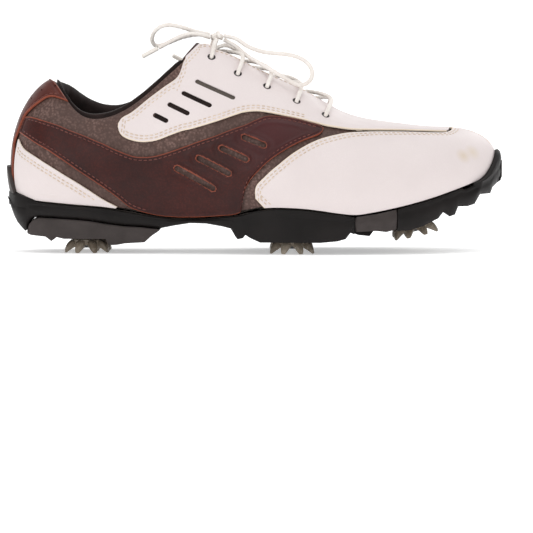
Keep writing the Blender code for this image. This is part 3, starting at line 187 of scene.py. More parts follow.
def ring_points(row, around):
    """Points of a cage row; around runs 0 (heel) to TOE on the lateral side, negative on the medial."""
    position = np.mod(around, RING_COUNT)
    first = np.floor(position).astype(int) % RING_COUNT
    second = (first + 1) % RING_COUNT
    f = (position - np.floor(position))[..., None]
    start, end = CAGE[row][first], CAGE[row][second]
    start_slope, end_slope = CAGE_SLOPES[row][first], CAGE_SLOPES[row][second]
    return ((2 * f**3 - 3 * f**2 + 1) * start + (f**3 - 2 * f**2 + f) * start_slope
            + (3 * f**2 - 2 * f**3) * end + (f**3 - f**2) * end_slope)


def bare_last(around, up):
    """Points of the last at (around, up), with up 0 at the feather line and 1 at the crown."""
    around, up = np.broadcast_arrays(np.asarray(around, float), np.asarray(up, float))
    rise = up[..., None]
    rest = 1.0 - rise
    return (rest**3 * ring_points(0, around) + 3 * rest**2 * rise * ring_points(1, around)
            + 3 * rest * rise**2 * ring_points(2, around) + rise**3 * ring_points(3, around))


def side_normals(around, up):
    step = 0.02
    around, up = np.broadcast_arrays(np.asarray(around, float), np.asarray(up, float))
    low, high = np.maximum(up - step, 0.0), np.minimum(up + step, 0.985)
    level = np.minimum(up, 0.985)
    along = bare_last(around + step, level) - bare_last(around - step, level)
    rise = bare_last(around, high) - bare_last(around, low)
    normal = np.cross(along, rise)
    return normal / np.linalg.norm(normal, axis=-1, keepdims=True)


def last_normals(around, up):
    """Outward normals of the last, easing into the mean of the two sides along the ridge."""
    around, up = np.broadcast_arrays(np.asarray(around, float), np.asarray(up, float))
    normal = side_normals(around, up)
    folded = RING_COUNT / 2 - np.abs(np.mod(around, RING_COUNT) - RING_COUNT / 2)
    near = np.clip((up - 0.86) / 0.14, 0.0, 1.0)
    share = 0.5 * near**2 * np.clip((folded - RIDGE_START + 0.4) / 0.4, 0.0, 1.0)
    normal = normal * (1 - share[..., None]) + side_normals(-around, up) * share[..., None]
    return normal / np.linalg.norm(normal, axis=-1, keepdims=True)


def last(around, up, lift=0.0):
    """Points at a distance lift out from the last."""
    lift = np.asarray(lift, float)[..., None]
    return bare_last(around, up) + lift * last_normals(around, up)


def seed_grid(side):
    """Coarse samples of one side of the last, where a search starts."""
    arounds, ups = np.meshgrid(np.linspace(0.0, TOE, 4 * TOE + 1), np.linspace(0.0, 1.0, 21),
                               indexing="ij")
    places = np.stack([-side * arounds.ravel(), ups.ravel()], axis=1)
    return places, bare_last(places[:, 0], places[:, 1])


SEEDS = {LATERAL: seed_grid(LATERAL), MEDIAL: seed_grid(MEDIAL)}


def locate(side, x, z=None, y=None):
    """(around, up) of the surface point with this x and this z, or this x and this y."""
    axes = [0, 2] if y is None else [0, 1]
    target = np.array([x, z if y is None else y])
    places, points = SEEDS[side]
    place = np.array(places[int(np.argmin(((points[:, axes] - target)**2).sum(axis=1)))])
    step = 1e-3
    for _ in range(12):
        here = bare_last(*place)[axes]
        slope_around = (bare_last(place[0] + step, place[1])[axes] - here) / step
        slope_up = (bare_last(place[0], place[1] + step)[axes] - here) / step
        change = np.linalg.lstsq(np.stack([slope_around, slope_up], axis=1), target - here, rcond=0.02)[0]
        place = place + np.clip(change, -0.4, 0.4)
        place[1] = min(max(place[1], 0.0), 1.0)
    return place


def smooth_path(points, count):
    """count points along a smooth open curve through points."""
    points = np.array(points, dtype=float)
    padded = np.vstack([2 * points[0] - points[1], points, 2 * points[-1] - points[-2]])
    path = []
    for sample in np.linspace(0.0, len(points) - 1, count):
        k = min(int(sample), len(points) - 2)
        f = sample - k
        before, start, end, after = padded[k:k + 4]
        path.append(0.5 * (2 * start + (end - before) * f
                           + (2 * before - 5 * start + 4 * end - after) * f**2
                           + (3 * start - before - 3 * end + after) * f**3))
    return np.array(path)


def runs(points):
    """Distance along a polyline at each of its points."""
    return np.concatenate([[0.0], np.cumsum(np.linalg.norm(np.diff(points, axis=0), axis=1))])


def sampled(marks, along, points):
    """Points of a path at the distances marks, from its points at the distances along."""
    return np.stack([np.interp(marks, along, points[:, k]) for k in range(points.shape[1])], axis=1)


def even_path(points, pitch):
    """The polyline through points, stepped at about this pitch."""
    along = runs(points)
    marks = np.linspace(0.0, along[-1], max(int(round(along[-1] / pitch)), 2) + 1)
    return sampled(marks, along, points)


# ---------------------------------------------------------------- finishes

def new_finish(name, roughness, metallic=0.0):
    """A material with its node tree, its shader and an object-space coordinate to pattern it with."""
    made = bpy.data.materials.new(name)
    made.use_nodes = True
    tree = made.node_tree
    shader = tree.nodes["Principled BSDF"]
    shader.inputs["Roughness"].default_value = roughness
    shader.inputs["Metallic"].default_value = metallic
    place = tree.nodes.new("ShaderNodeTexCoord")
    return made, tree, shader, place.outputs["Object"]


def noise(tree, place, scale, detail=4.0, roughness=0.55, distortion=0.0):
    node = tree.nodes.new("ShaderNodeTexNoise")
    node.inputs["Scale"].default_value = scale
    node.inputs["Detail"].default_value = detail
    node.inputs["Roughness"].default_value = roughness
    node.inputs["Distortion"].default_value = distortion
    tree.links.new(place, node.inputs["Vector"])
    return node.outputs["Fac"]


def cells(tree, place, scale):
    """Distance to the nearest cell's middle, for pebbled grain."""
    node = tree.nodes.new("ShaderNodeTexVoronoi")
    node.feature = "SMOOTH_F1"
    node.inputs["Scale"].default_value = scale
    node.inputs["Smoothness"].default_value = 0.35
    tree.links.new(place, node.inputs["Vector"])
    return node.outputs["Distance"]


def ramp(tree, value, *stops):
    """Colours over a value, as (position, (r, g, b))."""
    node = tree.nodes.new("ShaderNodeValToRGB")
    elements = node.color_ramp.elements
    while len(elements) < len(stops):
        elements.new(0.5)
    for element, (position, colour) in zip(elements, stops):
        element.position = position
        element.color = (*colour, 1.0)
    tree.links.new(value, node.inputs["Fac"])
    return node.outputs["Color"]


def scaled(tree, value, low, high, start=0.0, end=1.0):
    """value taken from start..end to low..high, clamped."""
    node = tree.nodes.new("ShaderNodeMapRange")
    for slot, number in (("From Min", start), ("From Max", end), ("To Min", low), ("To Max", high)):
        node.inputs[slot].default_value = number
    tree.links.new(value, node.inputs["Value"])
    return node.outputs["Result"]


def mixed(tree, share, first, second):
    """Mix of two colours, each a socket or (r, g, b), by a share socket."""
    node = tree.nodes.new("ShaderNodeMix")
    node.data_type = "RGBA"
    tree.links.new(share, node.inputs["Factor"])
    for slot, value in ((6, first), (7, second)):
        if isinstance(value, tuple):
            node.inputs[slot].default_value = (*value, 1.0)
        else:
            tree.links.new(value, node.inputs[slot])
    return node.outputs[2]


def near_point(tree, place, centre, radius, softness):
    """1 near a point, falling to 0 past radius; centre and sizes in millimetres."""
    node = tree.nodes.new("ShaderNodeVectorMath")
    node.operation = "DISTANCE"
    tree.links.new(place, node.inputs[0])
    node.inputs[1].default_value = [c * MM for c in centre]
    return scaled(tree, node.outputs["Value"], 1.0, 0.0, (radius - softness) * MM, (radius + softness) * MM)


def bump(tree, shader, *layers):
    """Bumps from (height socket, strength, depth in millimetres) laid over one another."""
    previous = None
    for value, strength, depth in layers:
        node = tree.nodes.new("ShaderNodeBump")
        node.inputs["Strength"].default_value = strength
        node.inputs["Distance"].default_value = depth * MM
        tree.links.new(value, node.inputs["Height"])
        if previous:
            tree.links.new(previous, node.inputs["Normal"])
        previous = node.outputs["Normal"]
    tree.links.new(previous, shader.inputs["Normal"])


def leather(name, dark, light, roughness, pebble=1.0, depth=0.5, coat=0.0, stains_and_highlights=(), specular=0.4,
            speckle=0.45):
    """Grained leather: cells of pebble mm, creases, uneven colour, and soft (centre, r, colour) patches for
    stains and painted highlights.
    """
    made, tree, shader, place = new_finish(name, sum(roughness) / 2)
    broad = noise(tree, place, 34, 5.0, 0.6)
    fine = noise(tree, place, 900, 3.0, 0.6)
    colour = ramp(tree, broad, (0.32, dark), (0.68, light))
    colour = mixed(tree, scaled(tree, fine, 0.0, speckle, 0.45, 0.75), colour, dark)
    grain = cells(tree, place, 1000 / pebble)
    colour = mixed(tree, scaled(tree, grain, 0.0, speckle, 0.25, 0.6), colour, dark)
    # patches lay real stains and painted highlights over the leather's colour
    for centre, radius, tint in stains_and_highlights:
        share = near_point(tree, place, centre, radius, radius * 0.8)
        colour = mixed(tree, share, colour, tint)
    tree.links.new(colour, shader.inputs["Base Color"])
    tree.links.new(scaled(tree, noise(tree, place, 160), *roughness, 0.3, 0.7), shader.inputs["Roughness"])
    shader.inputs["Coat Weight"].default_value = coat
    shader.inputs["Specular IOR Level"].default_value = specular
    shader.inputs["Coat Roughness"].default_value = 0.3
    creases = noise(tree, place, 70, 6.0, 0.65, 0.6)
    bump(tree, shader, (creases, 0.35, 0.35 * depth), (grain, 0.6, 0.16 * depth), (fine, 0.4, 0.05 * depth))
    return made


def moulded(name, dark, light, roughness, depth=0.05):
    """Moulded rubber or plastic with a fine spark texture and handling scuffs."""
    made, tree, shader, place = new_finish(name, sum(roughness) / 2)
    broad = noise(tree, place, 60, 5.0, 0.6)
    tree.links.new(ramp(tree, broad, (0.35, dark), (0.7, light)), shader.inputs["Base Color"])
    tree.links.new(scaled(tree, noise(tree, place, 240, 5.0), *roughness, 0.3, 0.7),
                   shader.inputs["Roughness"])
    shader.inputs["Specular IOR Level"].default_value = 0.18
    bump(tree, shader, (noise(tree, place, 45, 4.0), 0.2, 3 * depth),
         (noise(tree, place, 2600, 2.0), 0.5, depth))
    return made


def woven(name, dark, light, roughness=0.8, pitch=0.7, depth=0.12):
    """Yarn: fine crossed ribs with fuzz and uneven dye."""
    made, tree, shader, place = new_finish(name, roughness)
    broad = noise(tree, place, 90, 4.0)
    fine = noise(tree, place, 2200, 2.0)
    colour = ramp(tree, broad, (0.3, dark), (0.7, light))
    colour = mixed(tree, scaled(tree, fine, 0.0, 0.5, 0.45, 0.8), colour, dark)
    tree.links.new(colour, shader.inputs["Base Color"])
    rough = scaled(tree, fine, roughness - 0.1, min(roughness + 0.12, 1.0))
    tree.links.new(rough, shader.inputs["Roughness"])
    shader.inputs["Sheen Weight"].default_value = 0.15
    shader.inputs["Specular IOR Level"].default_value = 0.25
    rib = cells(tree, place, 1000 / pitch)
    bump(tree, shader, (rib, 0.6, depth), (fine, 0.5, depth / 2))
    return made


def brushed_metal(name, dark, light, roughness):
    made, tree, shader, place = new_finish(name, roughness, 0.9)
    worn = noise(tree, place, 700, 4.0)
    tree.links.new(ramp(tree, worn, (0.35, dark), (0.7, light)), shader.inputs["Base Color"])
    tree.links.new(scaled(tree, worn, roughness - 0.1, roughness + 0.15), shader.inputs["Roughness"])
    bump(tree, shader, (worn, 0.4, 0.03))
    return made


TOE_STAIN = (0.66, 0.56, 0.47)
TOE_SCUFF = (0.60, 0.42, 0.33)
WHITE = leather("white_leather_look", (0.70, 0.625, 0.615), (0.74, 0.665, 0.655), (0.36, 0.52),
                0.9, 0.35, 0.06,
                stains_and_highlights=(((128, -26, 60), 3.2, TOE_STAIN), ((134, -20, 62), 3.4, (0.68, 0.59, 0.51)),
                         ((134, 4, 73), 2.2, TOE_SCUFF), ((139, 4, 70.6), 2.4, TOE_SCUFF),
                         ((143.5, 3, 67.4), 2.2, TOE_SCUFF)))
CUT_EDGE = leather("cut_edge_look", (0.78, 0.66, 0.53), (0.88, 0.77, 0.64), (0.6, 0.8), 0.5, 0.5)
# the oxblood's one patch is a painted highlight: a lighter, purplish sheen on the outer side's upper front
OXBLOOD = leather("oxblood_leather_look", (0.019, 0.0030, 0.0024), (0.064, 0.0085, 0.0050), (0.34, 0.52),
                  1.4, 0.6, 0.06,
                  stains_and_highlights=(((10, -38, 76), 20.0, (0.060, 0.013, 0.014)),), specular=0.22)
OXBLOOD_EDGE = leather("oxblood_edge_look", (0.17, 0.036, 0.018), (0.30, 0.075, 0.038), (0.4, 0.6),
                       0.8, 0.5, 0.0, specular=0.3)
TAN_OXBLOOD = leather("tan_oxblood_look", (0.060, 0.010, 0.006), (0.112, 0.022, 0.013), (0.38, 0.56),
                      1.2, 0.6, 0.05, specular=0.22)
TAUPE = leather("taupe_leather_look", (0.070, 0.038, 0.031), (0.215, 0.130, 0.110), (0.48, 0.68), 1.7, 4.5,
                specular=0.3, speckle=0.8)
LINING = woven("dark_lining_look", (0.010, 0.0052, 0.0045), (0.026, 0.014, 0.012), 0.85, 0.8, 0.15)
GREY_LAYER = leather("grey_layer_look", (0.085, 0.070, 0.060), (0.15, 0.125, 0.105), (0.6, 0.8), 0.6, 0.6)
THREAD = woven("thread_look", (0.55, 0.42, 0.31), (0.72, 0.60, 0.48), 0.75, 0.25, 0.05)
DARK_THREAD = woven("dark_thread_look", (0.10, 0.03, 0.025), (0.19, 0.06, 0.045), 0.7, 0.25, 0.05)
LACE = woven("lace_cotton_look", (0.76, 0.70, 0.65), (0.90, 0.86, 0.82), 0.8, 0.35, 0.06)
AGLET = moulded("aglet_look", (0.76, 0.71, 0.65), (0.86, 0.82, 0.77), (0.15, 0.3), 0.02)
RUBBER = moulded("black_rubber_look", (0.0045, 0.0034, 0.003), (0.011, 0.0085, 0.008), (0.45, 0.62), 0.06)
GREY_TPU = moulded("grey_plastic_look", (0.036, 0.029, 0.027), (0.058, 0.047, 0.045), (0.42, 0.58), 0.05)
SMOKED = moulded("smoked_plastic_look", (0.16, 0.125, 0.09), (0.40, 0.34, 0.27), (0.16, 0.32), 0.03)
BLACK_PLASTIC = moulded("black_plastic_look", (0.012, 0.011, 0.011), (0.028, 0.026, 0.025), (0.3, 0.45), 0.04)
DARK_METAL = brushed_metal("dark_metal_look", (0.05, 0.045, 0.045), (0.13, 0.12, 0.12), 0.32)
SMOKED.node_tree.nodes["Principled BSDF"].inputs["Transmission Weight"].default_value = 0.25


# ---------------------------------------------------------------- pieces

def add_piece(name, mesh, finishes, body=SHOE, sharp=40.0):
    """Put a mesh in the scene with its finishes, riding on a CAD body."""
    piece = bpy.data.objects.new(name, mesh)
    bpy.context.scene.collection.objects.link(piece)
    for finish in finishes:
        mesh.materials.append(finish)
    mesh.polygons.foreach_set("use_smooth", [True] * len(mesh.polygons))
    mesh.set_sharp_from_angle(angle=math.radians(sharp))
    if body:
        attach(piece, body)
    return piece


def mesh_of(name, verts, faces, kinds=None):
    """A mesh from points in millimetres; kinds gives each face's material number."""
    mesh = bpy.data.meshes.new(name)
    mesh.from_pydata((np.asarray(verts, float) * MM).tolist(), [], faces)
    if kinds is not None:
        mesh.polygons.foreach_set("material_index", kinds)
    mesh.update()
    return mesh


def tube_of_sections(sections):
    """Points and faces of a closed solid through sections that all have the same number of points."""
    size = len(sections[0])
    verts = np.concatenate([np.asarray(section, float) for section in sections])
    faces = []
    for ring in range(len(sections) - 1):
        for k in range(size):
            a, b = ring * size + k, ring * size + (k + 1) % size
            faces.append((a, b, b + size, a + size))
    faces.append(tuple(range(size - 1, -1, -1)))
    faces.append(tuple(range(len(verts) - size, len(verts))))
    return verts, faces


def joined(parts):
    """One (points, faces) from several."""
    verts, faces = [], []
    for more, sides in parts:
        faces += [tuple(len(verts) + k for k in face) for face in sides]
        verts += list(more)
    return verts, faces


def mesh_from_bmesh(name, bm):
    mesh = bpy.data.meshes.new(name)
    bm.to_mesh(mesh)
    bm.free()
    return mesh


def cut(mesh, cutter, operation="DIFFERENCE"):
    """The mesh with another mesh cut from it, or joined to it."""
    item = bpy.data.objects.new("cut_item", mesh)
    tool = bpy.data.objects.new("cut_tool", cutter)
    for helper in (item, tool):
        bpy.context.scene.collection.objects.link(helper)
    modifier = item.modifiers.new("cut", "BOOLEAN")
    modifier.operation = operation
    modifier.object = tool
    modifier.material_mode = "INDEX"
    graph = bpy.context.evaluated_depsgraph_get()
    result = bpy.data.meshes.new_from_object(item.evaluated_get(graph))
    slots = np.zeros(len(result.polygons), dtype=np.int32)
    result.polygons.foreach_get("material_index", slots)
    result.materials.clear()
    result.polygons.foreach_set("material_index", slots)
    bpy.data.objects.remove(item)
    bpy.data.objects.remove(tool)
    return result


BORDER = np.array([0.0, 0.07, 0.2, 0.4, 0.7])    # marks across a rounded edge


def graded(length, count):
    """count marks from 0 to 1 along a strip of this length, close together near both ends."""
    edge = BORDER * min(1.0, length / 5.0) / max(length, 1e-6)
    middle = np.linspace(edge[-1], 1 - edge[-1], count - 2 * len(edge) + 2)[1:-1]
    return np.concatenate([edge, middle, 1 - edge[::-1]])


class Panel:
    """A grid of places on the last between the lower and upper ends of its key columns."""

    def __init__(self, side, pairs, pitch, rows, extra=None):
        columns = [[self.place(side, point) for point in pair] for pair in pairs]
        if extra:
            columns += extra
        fine = 24 * len(columns)
        lower = smooth_path([column[0] for column in columns], fine)
        upper = smooth_path([column[1] for column in columns], fine)
        middle = bare_last(*(0.5 * (lower + upper)).T)
        travelled = runs(middle)
        self.length = travelled[-1]
        count = int(self.length / pitch) + 2 * len(BORDER)
        marks = graded(self.length, count) * self.length
        self.travel = marks
        lower = sampled(marks, travelled, lower)
        upper = sampled(marks, travelled, upper)
        upper[:, 1] = np.where(upper[:, 1] > RIDGE_SNAP, 1.0, upper[:, 1])
        self.side = side
        self.ridge = upper[:, 1] == 1.0
        steps = np.linspace(0.0, 1.0, 33)
        spans = lower[:, None, :] * (1 - steps)[None, :, None] + upper[:, None, :] * steps[None, :, None]
        points = bare_last(spans[..., 0], spans[..., 1])
        gaps = np.concatenate([np.zeros((len(marks), 1)),
                               np.linalg.norm(np.diff(points, axis=1), axis=2).cumsum(axis=1)], axis=1)
        self.width = np.maximum(gaps[:, -1], 0.05)
        self.places = np.empty((len(marks), rows, 2))
        self.rise = np.empty((len(marks), rows))
        for k, width in enumerate(self.width):
            wanted = graded(width, rows) * width
            share = np.interp(wanted, gaps[k], steps)
            self.places[k] = lower[k] * (1 - share)[:, None] + upper[k] * share[:, None]
            self.rise[k] = wanted

    @staticmethod
    def place(side, point):
        if len(point) == 2:
            return locate(side, point[0], z=point[1])
        if point[2] == "plan":
            return locate(side, point[0], y=side * point[1])
        return np.array([-side * point[0], point[1]])

    def edge_distances(self, seams):
        """Distance from each place to the panel's own edges; seams names the edges that are not cut."""
        far = 1e3
        travel = np.broadcast_to(self.travel[:, None], self.rise.shape)
        low = self.rise if "low" not in seams else np.full_like(self.rise, far)
        high = self.width[:, None] - self.rise
        high = np.where(self.ridge[:, None], far, high)
        if "high" in seams:
            high = np.full_like(high, far)
        start = travel if "start" not in seams else np.full_like(self.rise, far)
        end = self.length - travel if "end" not in seams else np.full_like(self.rise, far)
        return np.minimum(np.minimum(low, high), np.minimum(start, end))

    def tip_line(self, inset, margin):
        """Places along a line inset from the panel's blunt start, clear of its other edges by margin."""
        k = int(np.searchsorted(self.travel, inset))
        levels = np.linspace(margin, max(self.width[k] - margin, margin + 0.1), 24)
        return sampled(levels, self.rise[k], self.places[k])

    def line(self, edge, inset, start=0.0, end=1.0):
        """Places along a line inset from the low or high edge, between two shares of its length."""
        chosen = np.nonzero((self.travel >= start * self.length) & (self.travel <= end * self.length))[0]
        at_edge, further_in = (0, 5) if edge == "low" else (-1, -6)
        border = bare_last(self.places[:, at_edge, 0], self.places[:, at_edge, 1])
        other = bare_last(self.places[:, further_in, 0], self.places[:, further_in, 1])
        along = np.gradient(border, axis=0)
        across = other - border
        cosine = (along * across).sum(axis=1) / (np.linalg.norm(along, axis=1)
                                                 * np.linalg.norm(across, axis=1) + 1e-9)
        slant = np.clip(np.sqrt(np.maximum(1 - cosine**2, 0.0)), 0.35, 1.0)
        found = []
        for k in chosen:
            depth = inset / slant[k]
            if depth > self.width[k] * 0.5:
                continue
            level = depth if edge == "low" else self.width[k] - depth
            found.append(sampled([level], self.rise[k], self.places[k])[0])
        return np.array(found)


def panel_mesh(name, panels, layer, seams=(), shape=None, radius=0.55, tinted=None, weld=0.02):
    """A closed leather panel on one or more joined grids.

    Faces on its cut edge, and where tinted(panel, points, edge) says so, get material 1.
    """
    inner, outer = layer
    bm = bmesh.new()
    for panel in panels:
        arounds, ups = panel.places[..., 0], panel.places[..., 1]
        edge = panel.edge_distances(seams)
        inside = np.clip(edge / radius, 0.0, 1.0)
        lift = outer - radius * (1 - np.sqrt(np.clip(1 - (1 - inside)**2, 0.0, 1.0)))
        if shape:
            lift = lift + shape(panel, bare_last(arounds, ups), edge)
        marked = edge < 0.3
        if tinted:
            marked = marked | tinted(panel, bare_last(arounds, ups), edge)
        count, rows = edge.shape
        faces = []
        for level in (np.full_like(edge, inner), lift):
            points = last(arounds, ups, level).reshape(-1, 3) * MM
            faces.append([bm.verts.new(point) for point in points])
        low, high = faces
        for i in range(count - 1):
            for j in range(rows - 1):
                a, b, c, d = i * rows + j, (i + 1) * rows + j, (i + 1) * rows + j + 1, i * rows + j + 1
                quad = bm.faces.new((high[a], high[b], high[c], high[d]))
                quad.material_index = int(marked[i, j] and marked[i + 1, j + 1])
                bm.faces.new((low[d], low[c], low[b], low[a]))
        open_top = [i for i in range(count) if not panel.ridge[i]]
        last_open = min(open_top[-1] + 1, count - 1) if open_top else -1
        rims = [[i * rows for i in range(count)],
                [i * rows + rows - 1 for i in range(last_open, -1, -1)]]
        if "start" not in seams:
            rims.append(list(range(rows))[::-1])
        if "end" not in seams:
            rims.append([(count - 1) * rows + j for j in range(rows)])
        for rim in rims:
            for a, b in zip(rim, rim[1:]):
                wall = bm.faces.new((low[a], low[b], high[b], high[a]))
                wall.material_index = 1
    bmesh.ops.remove_doubles(bm, verts=bm.verts, dist=weld * MM)
    bmesh.ops.dissolve_degenerate(bm, edges=bm.edges, dist=0.002 * MM)
    bmesh.ops.recalc_face_normals(bm, faces=bm.faces)
    return mesh_from_bmesh(name, bm)


# ---------------------------------------------------------------- cutters and sewing

SLOT_REACH = 5.0                # how far a slot's cutter reaches in and out


def bore_into(bm, centre, axis, radius, depth, segments=24):
    """Add a closed cylinder to bm."""
    turn = Vector(axis).to_track_quat("Z", "Y").to_matrix().to_4x4()
    place = Matrix.Translation(Vector([float(c) * MM for c in centre])) @ turn
    bmesh.ops.create_cone(bm, cap_ends=True, segments=segments, radius1=radius * MM,
                          radius2=radius * MM, depth=depth * MM, matrix=place)


def slot_into(bm, side, start, end, width):
    """Add a round-ended slot cutter, square to the surface, between two side-view points."""
    places = locate(side, *start), locate(side, *end)
    normal = last_normals(*places[0]) + last_normals(*places[1])
    turn = Vector(normal).to_track_quat("Z", "Y")
    cloud = bmesh.new()
    for place in places:
        centre = Vector(last(*place, 0.6))
        for angle in np.linspace(0.0, math.tau, 16, endpoint=False):
            for depth in (-SLOT_REACH, SLOT_REACH):
                corner = Vector((math.cos(angle) * width / 2, math.sin(angle) * width / 2, depth))
                cloud.verts.new((centre + turn @ corner) * MM)
    bmesh.ops.convex_hull(cloud, input=cloud.verts)
    bmesh.ops.delete(cloud, geom=[v for v in cloud.verts if not v.link_faces], context="VERTS")
    mesh = mesh_from_bmesh("slot", cloud)
    bm.from_mesh(mesh)
    bpy.data.meshes.remove(mesh)


def slot_distance(side, slots, points):
    """Distance from each point to the nearest slot's middle line."""
    nearest = np.full(points.shape[:-1], 1e3)
    for start, end in slots:
        a, b = bare_last(*locate(side, *start)), bare_last(*locate(side, *end))
        line = b - a
        share = np.clip(((points - a) @ line) / (line @ line), 0.0, 1.0)
        bow = 4 * share * (1 - share)
        middle = bare_last(*((locate(side, *start) + locate(side, *end)) / 2))
        foot = a + share[..., None] * line + bow[..., None] * (middle - (a + b) / 2)
        nearest = np.minimum(nearest, np.linalg.norm(points - foot, axis=-1))
    return nearest


def ridge(distance, middle, width, rise):
    """A soft raised line at one distance."""
    return rise * np.exp(-((distance - middle) / width)**2)


STITCH_LENGTH = 2.3
STITCH_PITCH = 3.1
STITCH_RADIUS = 0.34
STITCH_SIDES = 7
# Shares along a stitch, with its girth and how deep it sinks there, in stitch radii.
STITCH_SHAPE = [(0.0, 0.25, 0.9), (0.06, 0.7, 0.45), (0.25, 1.0, 0.05), (0.5, 1.05, 0.0),
                (0.75, 1.0, 0.05), (0.94, 0.7, 0.45), (1.0, 0.25, 0.9)]
STITCH_LIFT = 1.8


def stitches(places):
    """Stitch capsules along a line of places, as (points, faces)."""
    if len(places) < 3:
        return [], []
    points = last(places[:, 0], places[:, 1], STITCH_LIFT)
    travelled = runs(points)
    angles = np.linspace(0.0, math.tau, STITCH_SIDES, endpoint=False)
    capsules = []
    for begin in np.arange(0.3, travelled[-1] - STITCH_LENGTH, STITCH_PITCH):
        marks = begin + STITCH_LENGTH * np.array([share for share, _, _ in STITCH_SHAPE])
        spine = sampled(marks, travelled, points)
        out = last_normals(*sampled([begin + STITCH_LENGTH / 2], travelled, places)[0])
        forward = spine[-1] - spine[0]
        forward = forward / np.linalg.norm(forward)
        across = np.cross(out, forward)
        sections = []
        for centre, (_, girth, sink) in zip(spine, STITCH_SHAPE):
            centre = centre - out * STITCH_RADIUS * sink
            size = STITCH_RADIUS * girth
            sections.append([centre + size * (math.cos(a) * across + math.sin(a) * out) for a in angles])
        capsules.append(tube_of_sections(sections))
    return joined(capsules)


def add_sewing(name, rows, finish):
    """One piece of stitches along rows of places."""
    verts, faces = joined([stitches(places) for places in rows])
    add_piece(name, mesh_of(name, verts, faces), [finish], sharp=80)


def dressed(piece, nodes):
    """The piece stands for these CAD nodes, which are hidden."""
    for node in nodes:
        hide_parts(node)


def both(make):
    """The thing made for each side, keyed by side."""
    return {side: make(side) for side in (LATERAL, MEDIAL)}


# ---------------------------------------------------------------- leather panels

def facing_holes(side, bm, radius):
    for eyelet in EYELETS:
        place = locate(side, *eyelet)
        bore_into(bm, last(*place), last_normals(*place), radius, 9.0, 20)


FACING_SEAMS = (2.0, 3.7)       # rows of stitches, as distances in from the cut edge
TOE_GUARD_SEAMS = (2.0, 3.8)
HEEL_PANEL_SEAMS = (3.0, 4.8)
SADDLE_SEAM = 2.1
EDGE_BAND = 0.75                # width of the bare cut edge that shows on white leather


def on_cut_edge(panel, points, edge):
    return edge < EDGE_BAND


def sewn(edge, *insets):
    """The dent that rows of stitches pull into leather, at distances in from its edge."""
    return sum(ridge(edge, inset, 0.55, -0.22) for inset in insets)


def build_facings():
    panels = both(lambda side: Panel(side, FACING_PAIRS, 0.75, 76))

    def shape(panel, points, edge):
        slot = slot_distance(panel.side, FACING_SLOTS, points)
        return sewn(edge, *FACING_SEAMS) + ridge(slot, FACING_SLOT_WIDTH / 2, 0.5, -0.15)

    mesh = panel_mesh("facings", list(panels.values()), OVERLAY, ("end",), shape, 0.7, on_cut_edge)
    bm = bmesh.new()
    for side in (LATERAL, MEDIAL):
        facing_holes(side, bm, EYELET_OUTER + 0.1)
        for start, end in FACING_SLOTS:
            slot_into(bm, side, start, end, FACING_SLOT_WIDTH)
    mesh = cut(mesh, mesh_from_bmesh("facing_cutter", bm))
    piece = add_piece("upper_vamp_and_facings", mesh, [WHITE, CUT_EDGE])
    dressed(piece, ["vamp_and_facings"])
    rows = []
    for side in (LATERAL, MEDIAL):
        for inset in FACING_SEAMS:
            rows.append(panels[side].line("low", inset, 0.02, 0.60))
            rows.append(panels[side].line("high", inset, 0.02, 0.30))
            rows.append(panels[side].tip_line(inset + 0.6, 1.4))
        rows.append(panels[side].line("high", FACING_SEAMS[0], 0.30, 0.60))
    add_sewing("stitching_facings", rows, THREAD)


def build_toe_guard():
    tip = locate(LATERAL, TOE_TIP[0], y=TOE_TIP[1])
    ends = {LATERAL: [[np.array([TOE, 0.012]), tip]],
            MEDIAL: [[np.array([-TOE, 0.012]), np.array([tip[0] - RING_COUNT, tip[1]])]]}
    panels = both(lambda side: Panel(side, TOE_GUARD_PAIRS, 0.9, 70, ends[side]))
    mesh = panel_mesh("toe_guard", list(panels.values()), OVERLAY, ("low", "end"),
                      lambda panel, points, edge: sewn(edge, *TOE_GUARD_SEAMS), 0.7, on_cut_edge)
    piece = add_piece("upper_toe_guard", mesh, [WHITE, CUT_EDGE])
    dressed(piece, ["toe_guard"])
    rows = [panel.line("high", inset, 0.0, 0.97) for panel in panels.values() for inset in TOE_GUARD_SEAMS]
    rows += [panel.tip_line(inset, 2.4) for panel in panels.values() for inset in TOE_GUARD_SEAMS]
    add_sewing("stitching_toe_guard", rows, THREAD)


def build_saddle(side):
    """The saddle, embossed round its slots and along its front edge."""
    panel = Panel(side, SADDLE_PAIRS, 0.6, 96)

    def shape(made, points, edge):
        slot = np.maximum(slot_distance(side, SADDLE_SLOTS, points) - SADDLE_SLOT_WIDTH / 2, 0.0)
        x = points[..., 0]
        near_front = np.clip((x + 62) / 14, 0.0, 1.0) * np.clip((34 - x) / 10, 0.0, 1.0)
        fields = ridge(slot, 0.7, 0.6, 0.50) + ridge(slot, 2.6, 1.2, -0.22) + ridge(slot, 5.4, 1.8, 0.16)
        bead = ridge(edge, 0.8, 0.6, 0.25)
        return near_front * fields + bead + sewn(edge, SADDLE_SEAM) + near_front * ridge(edge, 5.6, 1.4, 0.22)

    def tinted(made, points, edge):
        slot = slot_distance(side, SADDLE_SLOTS, points) - SADDLE_SLOT_WIDTH / 2
        return (slot < 0.85) | (edge < 0.85)

    mesh = panel_mesh("saddle", [panel], OVERLAY, (), shape, 0.55, tinted)
    bm = bmesh.new()
    for start, end in SADDLE_SLOTS:
        slot_into(bm, side, start, end, SADDLE_SLOT_WIDTH)
    mesh = cut(mesh, mesh_from_bmesh("saddle_cutter", bm))
    name = SIDE_NAMES[side]
    piece = add_piece("upper_saddle_" + name, mesh, [OXBLOOD, OXBLOOD_EDGE])
    dressed(piece, ["saddle_" + name])
    rows = [panel.line(edge, SADDLE_SEAM, start, end)
            for edge, start, end in (("high", 0.02, 0.98), ("low", 0.02, 0.45), ("low", 0.72, 0.97))]
    add_sewing("stitching_saddle_" + name, rows, DARK_THREAD)


